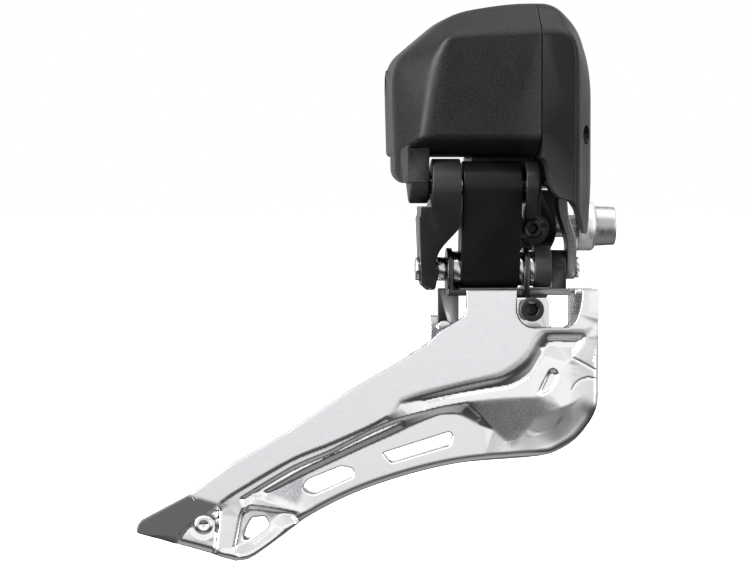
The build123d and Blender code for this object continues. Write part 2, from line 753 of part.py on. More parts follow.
# ======== cage carrier: the black block between the hinges and the cage ========
carrier_thickness = 1.3
carrier_low = cage_top - 8.0
plate_inner_face = outer_plate_y + cage_sheet
lug_thickness = 2.0
lug_inner = plate_inner_face + lug_thickness
carrier_front = carrier_front_ear + carrier_ear_thickness
leg_y = inner_plate_y - 1.4
ear_foot = 2.4
flange_width = 3.4
flange_inner = lower_outer[0] + flange_width + 0.5
plate_step = front_ear + ear_thickness + side_gap
boss_half = 3.8
with BuildPart() as cage_carrier:
    with BuildSketch(Plane.XY.offset(cage_top)):
        with BuildLine():
            Polyline(
                (carrier_rear_ear, flange_inner),
                (carrier_rear_ear, lower_inner[0] + ear_foot),
                (carrier_front, lower_inner[0] + ear_foot),
                (carrier_front, lug_inner),
                (plate_step, lug_inner),
                (plate_step, flange_inner),
                close=True,
            )
        make_face()
    extrude(amount=-carrier_thickness)
    # the two ears of the inner hinge stand on the carrier plate
    ear_stations = (
        (carrier_rear_ear, carrier_rear_ear_thickness, 3.4),
        (carrier_front_ear, carrier_ear_thickness, carrier_ear_radius),
    )
    for start, thickness, radius in ear_stations:
        with BuildSketch(Plane.YZ.offset(start)):
            with Locations(lower_inner):
                Circle(radius)
            with Locations((lower_inner[0], cage_top - carrier_thickness / 2)):
                Rectangle(2 * radius, carrier_thickness)
            make_hull()
        extrude(amount=thickness)
    # the boss for the cage screw, and the leg riveted to the inner plate
    with BuildSketch(Plane.XZ.offset(-lug_inner)):
        boss_top = cage_top - carrier_thickness - side_gap
        with Locations((screw_x, (boss_top + carrier_low) / 2)):
            Rectangle(2 * boss_half, boss_top - carrier_low)
        with Locations(((plate_step + screw_x + boss_half) / 2, cage_top - 1.5)):
            Rectangle(screw_x + boss_half - plate_step, 3.0)
    extrude(amount=-5.6)
    with BuildSketch(Plane.XZ.offset(-leg_y)):
        with Locations((carrier_rear_ear - 1.0, cage_top - 5.6)):
            Rectangle(4.6, 11.2)
    extrude(amount=leg_y - inner_plate_y + 0.04)
    disc(carrier_rear_ear - 1, carrier_front + 1, lower_inner, gap_radius, Mode.SUBTRACT)
    with BuildSketch(Plane.XZ.offset(-lug_inner)):
        with Locations((screw_x, screw_z)):
            Circle(screw_radius)
    extrude(amount=-5.2, mode=Mode.SUBTRACT)
    with BuildSketch(Plane.XZ.offset(-leg_y + 1)):
        with Locations((carrier_rear_ear - 1.8, cage_top - 8.6)):
            Circle(rivet_radius)
    extrude(amount=-4, mode=Mode.SUBTRACT)
save(cage_carrier, "cage_carrier")

# ======== chain cage plates ========
notch_left = -13.1
notch_right = 1.0
horn_right = 4.65
notch_floor = -21.55


cage_slots = (
    ((-72.5, -66.3), (-72.2, -64.2), (-70.2, -62.0), (-67.0, -62.0), (-67.7, -64.4)),
    ((-59.6, -56.2), (-58.3, -54.3), (-51.1, -51.5), (-48.2, -53.4), (-56.8, -57.6)),
    ((-42.1, -48.7), (-27.4, -44.1), (-26.9, -45.2), (-27.3, -47.2), (-40.3, -50.9)),
)
slot_corner = 0.6
inner_slot_shift = (0.9, -0.5)
lower_edge = ((4.65, -36.3), (2.7, -42.5), (-4.7, -48.9), (-13.9, -49.9), (-31.2, -52.1))
lower_edge_tail = ((-31.2, -52.1), (-46.4, -56.7), (-59.2, -63.0), (-68.0, -69.6), (-73.9, -71.7))
upper_edge_tail = ((-95.2, -65.4), (-94.1, -62.7), (-83.5, -57.1), (-63.1, -44.2), (-39.2, -29.2))
with BuildPart() as outer_cage_plate:
    with BuildSketch(Plane.XZ.offset(-outer_plate_y)):
        with BuildLine():
            Polyline((-24.1, cage_top), (notch_left, cage_top), (notch_left, -18.2))
            ThreePointArc((notch_left, -18.2), (-12.0, -20.6), (-9.2, notch_floor))
            Line((-9.2, notch_floor), (-2.0, notch_floor))
            ThreePointArc((-2.0, notch_floor), (0.3, -18.6), (notch_right, cage_top))
            Polyline((notch_right, cage_top), (horn_right, cage_top), (horn_right, -36.3))
            Spline(*lower_edge)
            Spline(*lower_edge_tail)
            Polyline((-73.9, -71.7), (-85.9, -68.2), (-95.2, -65.4))
            Polyline(*upper_edge_tail)
            Polyline((-39.2, -29.2), (-29.7, -22.3), (-25.6, -19.8), (-24.1, -18.4), (-24.1, cage_top))
        make_face()
        for corners in cage_slots:
            with BuildLine():
                FilletPolyline(*corners, radius=slot_corner, close=True)
            make_face(mode=Mode.SUBTRACT)
    extrude(amount=-cage_sheet)
    # the top edge is folded inboard and carries the two hinge ears
    with BuildSketch(Plane.XY.offset(cage_top)):
        with BuildLine():
            Polyline(
                (rear_ear, outer_plate_y),
                (notch_left, outer_plate_y),
                (front_ear + ear_thickness, lug_inner + 0.4),
                (front_ear + ear_thickness, lower_outer[0] + flange_width),
                (rear_ear, lower_outer[0] + flange_width),
                close=True,
            )
        make_face()
    extrude(amount=-cage_sheet)
    for start in (rear_ear, front_ear):
        with BuildSketch(Plane.YZ.offset(start)):
            with Locations(lower_outer):
                Circle(ear_radius)
            with Locations((lower_outer[0], cage_top - cage_sheet / 2)):
                Rectangle(6.8, cage_sheet)
            make_hull()
        extrude(amount=ear_thickness)
        ear_bore = pin_radius + running_gap
        disc(start - 0.2, start + ear_thickness + 0.2, lower_outer, ear_bore, Mode.SUBTRACT)
    # holes for the tail rivet and for the rivet of the front bridge
    with BuildSketch(Plane.XZ.offset(-outer_plate_y + 1)):
        with Locations((tail_x, tail_z)):
            Circle(tail_rivet_radius)
    extrude(amount=-cage_sheet - 2, mode=Mode.SUBTRACT)
save(outer_cage_plate, "outer_cage_plate")

with BuildPart() as cage_lug:
    with BuildSketch(Plane.XZ.offset(-plate_inner_face)):
        with Locations((screw_x - 0.2, -18.8)):
            RectangleRounded(9.4, 7.6, 1.5)
    extrude(amount=-lug_thickness)
    with BuildSketch(Plane.XZ.offset(-plate_inner_face)):
        with Locations((screw_x, screw_z)):
            Circle(screw_radius)
    extrude(amount=-lug_thickness, mode=Mode.SUBTRACT)
save(cage_lug, "cage_lug")

with BuildPart() as cage_screw:
    with BuildSketch(Plane.XZ.offset(-plate_inner_face)):
        with Locations((screw_x, screw_z)):
            Circle(screw_head_radius)
    extrude(amount=screw_head_height)
    with BuildSketch(Plane.XZ.offset(-plate_inner_face)):
        with Locations((screw_x, screw_z)):
            Circle(screw_radius)
    extrude(amount=-lug_thickness - 5.0)
    with BuildSketch(Plane.XZ.offset(-plate_inner_face + screw_head_height)):
        with Locations((screw_x, screw_z)):
            RegularPolygon(2.5 / 2, 6, major_radius=False)
    extrude(amount=-2.2, mode=Mode.SUBTRACT)
save(cage_screw, "cage_screw")

bridge_rear = carrier_front + 0.6
inner_nose = 6.4
with BuildPart() as inner_cage_plate:
    with BuildSketch(Plane.XZ.offset(-inner_plate_y)):
        with BuildLine():
            Polyline((bridge_rear, cage_top), (inner_nose, cage_top), (inner_nose, -36.3))
            Spline((inner_nose, -36.3), (4.2, -43.3), (-4.2, -50.1), (-13.9, -51.1), (-31.2, -53.1))
            Spline((-31.2, -53.1), (-46.4, -57.2), (-59.2, -63.0), (-68.0, -68.4), (-73.9, -69.9))
            Polyline((-73.9, -69.9), (-85.9, -66.8), (-93.6, -65.2), (-93.2, -64.1))
            Polyline((-93.2, -64.1), (-83.5, -58.6), (-63.1, -45.9), (-39.2, -30.9), (-31.0, -24.6))
            Polyline((-31.0, -24.6), (-31.0, -19.4), (-27.5, -19.4), (-24.0, -21.5))
            Polyline((-24.0, -21.5), (-6.0, -25.0), (bridge_rear, -21.5), (bridge_rear, cage_top))
        make_face()
        for corners in cage_slots:
            with BuildLine():
                shifted = [(x + inner_slot_shift[0], z + inner_slot_shift[1]) for x, z in corners]
                FilletPolyline(*shifted, radius=slot_corner, close=True)
            make_face(mode=Mode.SUBTRACT)
    extrude(amount=-inner_sheet)
    # the bridge folds over the chain to the outer plate
    with BuildSketch(Plane.XY.offset(cage_top)):
        with Locations(((bridge_rear + horn_right) / 2, (plate_inner_face + inner_plate_y) / 2)):
            Rectangle(horn_right - bridge_rear, inner_plate_y - plate_inner_face)
    extrude(amount=-inner_sheet)
    with BuildSketch(Plane.XZ.offset(-plate_inner_face)):
        with Locations(((notch_right + horn_right) / 2 + 0.4, cage_top - 3.4)):
            Rectangle(horn_right - notch_right - 0.8, 6.8)
    extrude(amount=-1.0)
    with BuildSketch(Plane.XZ.offset(-inner_plate_y + 1)):
        with Locations((tail_x, tail_z)):
            Circle(tail_rivet_radius)
        with Locations((carrier_rear_ear - 1.8, cage_top - 8.6)):
            Circle(rivet_radius)
    extrude(amount=-inner_sheet - 2, mode=Mode.SUBTRACT)
save(inner_cage_plate, "inner_cage_plate")

with BuildPart() as tail_spacer:
    with BuildSketch(Plane.XZ.offset(-plate_inner_face)):
        with Locations((tail_x, tail_z)):
            Circle(tail_spacer_radius)
            Circle(tail_rivet_radius, mode=Mode.SUBTRACT)
    extrude(amount=plate_inner_face - inner_plate_y)
save(tail_spacer, "tail_spacer")

rivet_head = 0.7
with BuildPart() as tail_rivet:
    with BuildSketch(Plane.XZ.offset(-outer_plate_y)):
        with Locations((tail_x, tail_z)):
            Circle(tail_rivet_radius)
    extrude(amount=outer_plate_y - inner_plate_y - inner_sheet)
    for plane_y, direction in ((outer_plate_y, 1), (inner_plate_y + inner_sheet, -1)):
        with BuildSketch(Plane.XZ.offset(-plane_y)):
            with Locations((tail_x, tail_z)):
                Circle(tail_rivet_radius + 0.7)
        extrude(amount=direction * rivet_head)
save(tail_rivet, "tail_rivet")

with BuildPart() as leg_rivet:
    with BuildSketch(Plane.XZ.offset(-leg_y)):
        with Locations((carrier_rear_ear - 1.8, cage_top - 8.6)):
            Circle(rivet_radius)
    extrude(amount=leg_y - inner_plate_y - inner_sheet)
    for plane_y, direction in ((leg_y, 1), (inner_plate_y + inner_sheet, -1)):
        with BuildSketch(Plane.XZ.offset(-plane_y)):
            with Locations((carrier_rear_ear - 1.8, cage_top - 8.6)):
                Circle(rivet_radius + 0.6)
        extrude(amount=direction * rivet_head)
save(leg_rivet, "leg_rivet")
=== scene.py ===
import math

import bmesh
import bpy
import numpy as np
from mathutils import Matrix, Vector
from mathutils.geometry import delaunay_2d_cdt


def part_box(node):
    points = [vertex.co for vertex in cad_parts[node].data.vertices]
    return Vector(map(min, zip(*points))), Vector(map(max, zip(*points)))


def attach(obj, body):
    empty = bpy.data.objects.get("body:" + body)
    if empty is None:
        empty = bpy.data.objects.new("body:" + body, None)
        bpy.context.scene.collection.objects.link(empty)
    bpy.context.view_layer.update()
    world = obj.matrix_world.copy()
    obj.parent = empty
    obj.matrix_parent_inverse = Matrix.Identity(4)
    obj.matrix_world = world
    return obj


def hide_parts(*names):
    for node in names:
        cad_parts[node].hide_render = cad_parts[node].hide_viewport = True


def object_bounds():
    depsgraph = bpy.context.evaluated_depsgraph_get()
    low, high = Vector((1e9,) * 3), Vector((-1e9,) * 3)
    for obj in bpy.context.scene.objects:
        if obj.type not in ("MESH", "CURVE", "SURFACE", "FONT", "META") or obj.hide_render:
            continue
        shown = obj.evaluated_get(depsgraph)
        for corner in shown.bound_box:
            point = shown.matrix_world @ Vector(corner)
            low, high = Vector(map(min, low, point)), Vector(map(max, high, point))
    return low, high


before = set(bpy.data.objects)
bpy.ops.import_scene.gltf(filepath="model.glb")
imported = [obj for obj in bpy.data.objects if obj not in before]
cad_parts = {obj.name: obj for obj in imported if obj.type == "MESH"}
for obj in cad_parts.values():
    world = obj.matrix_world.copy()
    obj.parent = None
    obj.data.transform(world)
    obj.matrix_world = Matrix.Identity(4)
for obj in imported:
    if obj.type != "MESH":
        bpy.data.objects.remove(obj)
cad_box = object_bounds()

# ======== studio ========
# A plain pale floor, a soft pale room and three soft boxes. The camera stands almost level
# with the derailleur, a little to its rear side.
MM = 0.001
scene = bpy.context.scene
scene.view_settings.view_transform = "Standard"

camera_aim = Vector((-43.38, -15.0, -11.75)) * MM
camera_turn = math.radians(-4.0)
camera_lift = math.radians(2.0)
camera_distance = 0.7
camera_data = bpy.data.cameras.new("camera")
camera_data.lens = 154.6
camera_data.sensor_width = 36.0
camera_data.clip_end = 50.0
camera = bpy.data.objects.new("camera", camera_data)
scene.collection.objects.link(camera)
scene.camera = camera
sight = Vector((
    -math.sin(camera_turn) * math.cos(camera_lift),
    math.cos(camera_turn) * math.cos(camera_lift),
    -math.sin(camera_lift),
))
camera.location = camera_aim - sight * camera_distance
camera.rotation_euler = sight.to_track_quat("-Z", "Y").to_euler()

floor_level = cad_box[0].z - 0.5 * MM
floor_mesh = bpy.data.meshes.new("studio_floor")
floor_shape = bmesh.new()
bmesh.ops.create_circle(floor_shape, cap_ends=True, segments=96, radius=6.0)
floor_shape.to_mesh(floor_mesh)
floor_shape.free()
floor = bpy.data.objects.new("studio_floor", floor_mesh)
floor.location.z = floor_level
scene.collection.objects.link(floor)
floor_paint = bpy.data.materials.new("studio_floor_paint")
floor_paint.use_nodes = True
floor_shader = floor_paint.node_tree.nodes["Principled BSDF"]
floor_shader.inputs["Base Color"].default_value = (0.9, 0.9, 0.9, 1)
floor_shader.inputs["Roughness"].default_value = 0.9
floor_shader.inputs["Emission Color"].default_value = (1, 1, 1, 1)
floor_shader.inputs["Emission Strength"].default_value = 0.75
floor_mesh.materials.append(floor_paint)
floor.visible_glossy = False
floor.visible_diffuse = False

# The room is bright in front and overhead, and dark low down, so that metal edges that
# face the ground read as dark lines.
room = bpy.data.worlds.new("studio_room")
scene.world = room
room.use_nodes = True
room_nodes = room.node_tree.nodes
room_links = room.node_tree.links
room_nodes.clear()
room_out = room_nodes.new("ShaderNodeOutputWorld")
room_light = room_nodes.new("ShaderNodeBackground")
room_sight = room_nodes.new("ShaderNodeBackground")
room_mix = room_nodes.new("ShaderNodeMixShader")
room_path = room_nodes.new("ShaderNodeLightPath")
room_place = room_nodes.new("ShaderNodeTexCoord")
room_split = room_nodes.new("ShaderNodeSeparateXYZ")
room_height = room_nodes.new("ShaderNodeMapRange")
room_height.inputs["From Min"].default_value = -1.0
room_height.inputs["From Max"].default_value = 1.0
room_ramp = room_nodes.new("ShaderNodeValToRGB")
room_steps = (
    # height from straight down to straight up, brightness
    (0.0, 0.45), (0.10, 0.26), (0.20, 0.04), (0.30, 0.09), (0.38, 0.37), (0.45, 0.93),
    (0.58, 1.0), (0.72, 0.8), (1.0, 0.6),
)
for place, value in room_steps[1:-1]:
    room_ramp.color_ramp.elements.new(place).color = (value, value, value, 1)
room_ramp.color_ramp.elements[0].color = (room_steps[0][1],) * 3 + (1,)
room_ramp.color_ramp.elements[-1].color = (room_steps[-1][1],) * 3 + (1,)
# behind the derailleur the room is darker, so that edges turned to the back go dark
room_depth = room_nodes.new("ShaderNodeMapRange")
room_depth.inputs["From Min"].default_value = -0.6
room_depth.inputs["From Max"].default_value = 0.7
room_depth.inputs["To Min"].default_value = 1.02
room_depth.inputs["To Max"].default_value = 0.80
room_gain = room_nodes.new("ShaderNodeMath")
room_gain.operation = "MULTIPLY"
for source, target in (
    (room_place.outputs["Generated"], room_split.inputs[0]),
    (room_split.outputs["Z"], room_height.inputs["Value"]),
    (room_split.outputs["Y"], room_depth.inputs["Value"]),
    (room_height.outputs["Result"], room_ramp.inputs["Fac"]),
    (room_ramp.outputs["Color"], room_gain.inputs[0]),
    (room_depth.outputs["Result"], room_gain.inputs[1]),
    (room_gain.outputs[0], room_light.inputs["Color"]),
    (room_path.outputs["Is Camera Ray"], room_mix.inputs["Fac"]),
    (room_light.outputs[0], room_mix.inputs[1]),
    (room_sight.outputs[0], room_mix.inputs[2]),
    (room_mix.outputs[0], room_out.inputs["Surface"]),
):
    room_links.new(source, target)
room_light.inputs["Strength"].default_value = 1.0
room_sight.inputs["Color"].default_value = (1, 1, 1, 1)
room_sight.inputs["Strength"].default_value = 1.0

soft_boxes = (
    # name, place, width, height, power: a tall box on the left, one overhead, a small one right
    ("left_box", (-0.75, -0.40, 0.25), 0.22, 0.9, 19.0),
    ("top_box", (0.0, -0.15, 0.95), 1.8, 1.2, 13.0),
    ("right_box", (0.7, -0.5, 0.15), 0.2, 0.6, 2.0),
)
for name, place, width, height, power in soft_boxes:
    lamp = bpy.data.lights.new(name, "AREA")
    lamp.shape = "RECTANGLE"
    lamp.size = width
    lamp.size_y = height
    lamp.energy = power
    box = bpy.data.objects.new(name, lamp)
    box.location = place
    box.rotation_euler = (camera_aim - Vector(place)).to_track_quat("-Z", "Y").to_euler()
    scene.collection.objects.link(box)


# ======== bracket: the forging that is bolted to the frame ========
# Hot forged aluminium, machined at the bores and the saddle, then painted satin black.
# Its paint is thin on the edges. The clamp bolt goes through its round boss.


def node_group(name, inputs, outputs):
    """A shader node group with float or vector sockets, and its two end nodes."""
    group = bpy.data.node_groups.new(name, "ShaderNodeTree")
    for socket, value in inputs:
        made = group.interface.new_socket(socket, in_out="INPUT", socket_type="NodeSocketFloat")
        made.default_value = value
    for socket in outputs:
        group.interface.new_socket(socket, in_out="OUTPUT", socket_type="NodeSocketFloat")
    return group, group.nodes.new("NodeGroupInput"), group.nodes.new("NodeGroupOutput")


def grain_group():
    """Fine cast or sprayed grain: a height for the bump and a slow mottle for the colour."""
    group, start, end = node_group(
        "surface_grain", (("Scale", 3000.0), ("Mottle Scale", 90.0)), ("Height", "Mottle")
    )
    place = group.nodes.new("ShaderNodeTexCoord")
    fine = group.nodes.new("ShaderNodeTexNoise")
    fine.inputs["Detail"].default_value = 3.0
    fine.inputs["Roughness"].default_value = 0.6
    slow = group.nodes.new("ShaderNodeTexNoise")
    slow.inputs["Detail"].default_value = 5.0
    for noise, scale in ((fine, "Scale"), (slow, "Mottle Scale")):
        group.links.new(place.outputs["Object"], noise.inputs["Vector"])
        group.links.new(start.outputs[scale], noise.inputs["Scale"])
    group.links.new(fine.outputs["Fac"], end.inputs["Height"])
    group.links.new(slow.outputs["Fac"], end.inputs["Mottle"])
    return group


def streak_group():
    """Brushing or turning marks: noise drawn out along X, Y and Z by the three stretches."""
    group, start, end = node_group(
        "tool_marks",
        (("Along X", 400.0), ("Along Y", 6000.0), ("Along Z", 6000.0)),
        ("Streak",),
    )
    place = group.nodes.new("ShaderNodeTexCoord")
    pull = group.nodes.new("ShaderNodeCombineXYZ")
    stretch = group.nodes.new("ShaderNodeVectorMath")
    stretch.operation = "MULTIPLY"
    noise = group.nodes.new("ShaderNodeTexNoise")
    noise.inputs["Scale"].default_value = 1.0
    noise.inputs["Detail"].default_value = 3.0
    for axis in "XYZ":
        group.links.new(start.outputs["Along " + axis], pull.inputs[axis])
    group.links.new(place.outputs["Object"], stretch.inputs[0])
    group.links.new(pull.outputs[0], stretch.inputs[1])
    group.links.new(stretch.outputs[0], noise.inputs["Vector"])
    group.links.new(noise.outputs["Fac"], end.inputs["Streak"])
    return group


def wear_group():
    """Where an edge stands proud, from the bend of the surface: 1 on the edge, 0 on a flat."""
    group, start, end = node_group("edge_wear", (("From", 0.52), ("To", 0.62)), ("Edge",))
    bend = group.nodes.new("ShaderNodeNewGeometry")
    window = group.nodes.new("ShaderNodeMapRange")
    group.links.new(bend.outputs["Pointiness"], window.inputs["Value"])
    group.links.new(start.outputs["From"], window.inputs["From Min"])
    group.links.new(start.outputs["To"], window.inputs["From Max"])
    group.links.new(window.outputs["Result"], end.inputs["Edge"])
    return group


GRAIN = grain_group()
STREAK = streak_group()
WEAR = wear_group()


class Finish:
    """A material under work: its Principled shader, and short ways to add what it needs."""

    def __init__(self, name, metallic, rough):
        self.material = bpy.data.materials.new(name)
        self.material.use_nodes = True
        self.nodes = self.material.node_tree.nodes
        self.links = self.material.node_tree.links
        self.shader = self.nodes["Principled BSDF"]
        self.shader.inputs["Metallic"].default_value = metallic
        self.shader.inputs["Roughness"].default_value = rough

    def group(self, tree, **values):
        node = self.nodes.new("ShaderNodeGroup")
        node.node_tree = tree
        for socket, value in values.items():
            node.inputs[socket.replace("_", " ")].default_value = value
        return node

    def span(self, source, low, high, start=0.3, end=0.7):
        """The source's values from start to end, spread from low to high."""
        node = self.nodes.new("ShaderNodeMapRange")
        node.inputs["From Min"].default_value = start
        node.inputs["From Max"].default_value = end
        node.inputs["To Min"].default_value = low
        node.inputs["To Max"].default_value = high
        self.links.new(source, node.inputs["Value"])
        return node.outputs["Result"]

    def blend(self, factor, first, second):
        """A colour between two colours or colour sockets."""
        node = self.nodes.new("ShaderNodeMix")
        node.data_type = "RGBA"
        self.links.new(factor, node.inputs["Factor"])
        for socket, colour in ((node.inputs["A"], first), (node.inputs["B"], second)):
            if isinstance(colour, tuple):
                socket.default_value = colour + (1.0,)
            else:
                self.links.new(colour, socket)
        return node.outputs["Result"]

    def mix(self, factor, first, second):
        """A number between two number sockets or numbers."""
        node = self.nodes.new("ShaderNodeMix")
        self.links.new(factor, node.inputs["Factor"])
        for socket, value in ((node.inputs["A"], first), (node.inputs["B"], second)):
            if isinstance(value, (int, float)):
                socket.default_value = value
            else:
                self.links.new(value, socket)
        return node.outputs["Result"]

    def attribute(self, name):
        node = self.nodes.new("ShaderNodeAttribute")
        node.attribute_name = name
        return node.outputs["Fac"]

    def bump(self, height, depth_mm, strength=1.0):
        node = self.nodes.new("ShaderNodeBump")
        node.inputs["Distance"].default_value = depth_mm * MM
        node.inputs["Strength"].default_value = strength
        self.links.new(height, node.inputs["Height"])
        self.links.new(node.outputs["Normal"], self.shader.inputs["Normal"])

    def put(self, socket, source):
        self.links.new(source, self.shader.inputs[socket])


def grey(value):
    return (value, value, value)


def painted(name, deep, pale, rough, grain_mm, worn, shine=0.19, relief=0.35, speckle=0.0):
    """Satin paint or anodising on metal or plastic: fine grain, slow mottle, pale edges."""
    finish = Finish(name, 0.0, rough)
    finish.shader.inputs["Specular IOR Level"].default_value = shine
    grain = finish.group(GRAIN, Scale=1.0 / (grain_mm * MM), Mottle_Scale=120.0)
    wear = finish.group(WEAR)
    tone = finish.blend(finish.span(grain.outputs["Mottle"], 0.0, 1.0), deep, pale)
    if speckle:
        fleck = finish.span(grain.outputs["Height"], 0.0, speckle, 0.5, 0.62)
        tone = finish.blend(fleck, tone, grey(0.035))
    edges = finish.span(wear.outputs["Edge"], 0.0, worn, 0.0, 1.0)
    finish.put("Base Color", finish.blend(edges, tone, (0.30, 0.31, 0.32)))
    finish.put("Roughness", finish.span(grain.outputs["Mottle"], rough - 0.05, rough + 0.07))
    finish.bump(grain.outputs["Height"], 0.03, relief)
    return finish.material


def bare_metal(name, deep, pale, rough, marks=(500.0, 5000.0, 5000.0), depth=0.004):
    """Bright metal with tool marks along one axis, a slow change of tone and smooth edges."""
    finish = Finish(name, 1.0, rough)
    grain = finish.group(GRAIN, Scale=4000.0, Mottle_Scale=150.0)
    marks = finish.group(STREAK, Along_X=marks[0], Along_Y=marks[1], Along_Z=marks[2])
    tone = finish.mix(grain.outputs["Mottle"], marks.outputs["Streak"], grain.outputs["Height"])
    finish.put("Base Color", finish.blend(finish.span(tone, 0.0, 1.0), deep, pale))
    finish.put("Roughness", finish.span(marks.outputs["Streak"], rough * 0.75, rough * 1.3))
    finish.bump(marks.outputs["Streak"], depth, 0.25)
    return finish.material


def piece_from(name, shape):
    """A new piece from a shape under work, which is then let go."""
    mesh = bpy.data.meshes.new(name)
    shape.to_mesh(mesh)
    shape.free()
    return placed(name, mesh)


def placed(name, mesh):
    """A new piece in the scene that shows a mesh."""
    piece = bpy.data.objects.new(name, mesh)
    scene.collection.objects.link(piece)
    return piece


def welded_copy(node, name):
    """A copy of a CAD node's mesh with its triangles joined up into faces."""
    shape = bmesh.new()
    shape.from_mesh(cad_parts[node].data)
    bmesh.ops.remove_doubles(shape, verts=shape.verts, dist=0.002 * MM)
    bmesh.ops.dissolve_limit(
        shape, angle_limit=math.radians(0.05), verts=shape.verts, edges=shape.edges
    )
    return piece_from(name, shape)


def ease_edges(piece, width_mm, steps=2, angle=30.0):
    """Every sharp edge gets a small round, as tumbling, forging or paint leaves it."""
    for face in piece.data.polygons:
        face.use_smooth = True
    ease = piece.modifiers.new("eased_edges", "BEVEL")
    ease.width = width_mm * MM
    ease.segments = steps
    ease.limit_method = "ANGLE"
    ease.angle_limit = math.radians(angle)
    ease.use_clamp_overlap = False
    ease.harden_normals = True
    ease.miter_outer = "MITER_ARC"
    return piece


def give_material(piece, material):
    piece.data.materials.clear()
    piece.data.materials.append(material)


def finish_piece(piece, body, slot, material, *nodes):
    """The piece gets its material and rides on its body, and the CAD nodes it shows are hidden."""
    give_material(piece, material)
    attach(piece, body)
    if nodes:
        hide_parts(*nodes)
    return piece


def machined(node, body, slot, material, width_mm, steps=2, angle=30.0):
    """A CAD piece with eased edges in the real finish."""
    piece = ease_edges(welded_copy(node, node + "_eased"), width_mm, steps, angle)
    return finish_piece(piece, body, slot, material, node)


forged_black = painted("forged_black_paint", grey(0.006), grey(0.010), 0.42, 0.30, 0.25)
machined("bracket_body", "base", "forged_black", forged_black, 0.30, 3)

# ======== frame clamp: bolt, thick washer and support bolt ========
# The bolt and its thick washer are turned from steel and zinc plated. The support bolt is a
# short black socket set screw that is turned in until its tip bears on the seat tube.
turned_steel = bare_metal(
    "turned_zinc_steel", grey(0.44), grey(0.52), 0.36, (1500.0, 120.0, 120.0), 0.001
)
machined("clamp_bolt", "clamp_bolt", "turned_steel", turned_steel, 0.22, 3)
# painted light: the washer gets a far paler copy of the bolt's zinc steel, to lift it out of the
# shade that the fin and cover cast on it
washer_lit_steel = bare_metal(
    "washer_steel_painted_light", (0.86, 0.86, 0.865), (0.93, 0.93, 0.935), 0.42, (1500.0, 120.0, 120.0),
    0.001
)
machined("clamp_washer", "clamp_bolt", "turned_steel", washer_lit_steel, 0.18, 2)
black_steel = painted("black_oxide_steel", grey(0.009), grey(0.016), 0.30, 0.25, 0.5)
machined("support_bolt", "support_bolt", "black_steel", black_steel, 0.12)

# ======== upper hinges: bushes, fixed pin and clips ========
# Plain bronze bushes are pressed into the barrel. The inner hinge pin is ground steel,
# pressed into the bracket and held at each end by a clip.
bronze = bare_metal(
    "bearing_bronze", (0.36, 0.25, 0.13), (0.50, 0.36, 0.20), 0.35, (4000.0, 800.0, 800.0)
)
machined("output_bushes", "base", "bronze", bronze, 0.08)
bright_steel = bare_metal(
    "bright_pin_steel", (0.56, 0.56, 0.57), (0.70, 0.70, 0.71), 0.14, (4000.0, 900.0, 900.0),
    0.002
)
machined("inner_upper_pin", "base", "bright_steel", bright_steel, 0.15)
machined("inner_upper_clips", "base", "bright_steel", bright_steel, 0.08)

# ======== outer link with its two arms ========
# The wide link is moulded round the hinge tubes and faced with a smooth satin black skin.
# The cranked rear arm and the short front arm are stamped steel, black plated, pressed on
# the output shaft.
link_black = painted("link_satin_black", grey(0.005), grey(0.008), 0.32, 0.5, 0.0, shine=0.16)
machined("outer_link", "outer_link", "link_black", link_black, 0.35, 3)
arm_black = painted("arm_black_plate", grey(0.012), grey(0.020), 0.28, 0.3, 0.15, shine=0.22)
machined("rear_link_arm", "outer_link", "link_black", arm_black, 0.28, 3)
machined("front_link_arm", "outer_link", "link_black", arm_black, 0.22, 3)
machined("output_shaft", "outer_link", "bright_steel", bright_steel, 0.12)

# ======== gear train and motor, inside the housing ========
# Sintered steel gears run on a fixed arbor between the rear wall and a steel plate. The
# motor is a drawn steel can. None of it shows until the cover is off.
gear_steel = bare_metal(
    "sintered_gear_steel", grey(0.22), (0.34, 0.34, 0.33), 0.42, (3000.0, 3000.0, 3000.0)
)
motor_steel = bare_metal(
    "drawn_motor_can", grey(0.44), (0.58, 0.58, 0.57), 0.32, (300.0, 6000.0, 6000.0)
)
board_green = painted(
    "circuit_board_lacquer", (0.012, 0.075, 0.035), (0.018, 0.11, 0.05), 0.38, 0.2, 0.0
)
inside_finishes = {
    "sector_gear": gear_steel,
    "compound_gear": gear_steel,
    "gear_arbor": bright_steel,
    "motor_pinion": gear_steel,
    "motor_shaft": bright_steel,
    "motor_can": motor_steel,
    "gear_plate": motor_steel,
    "control_board": board_green,
}
for node, material in inside_finishes.items():
    give_material(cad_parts[node], material)

# ======== motor housing, gasket and front cover ========
# Two thin shells moulded in glass-filled nylon with a fine matt texture. They meet at an
# upright seam on a thin rubber gasket, and three small screws hold the cover on.


def box_mm(node):
    """A CAD node's lowest and highest corners in millimetres."""
    return tuple(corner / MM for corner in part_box(node))


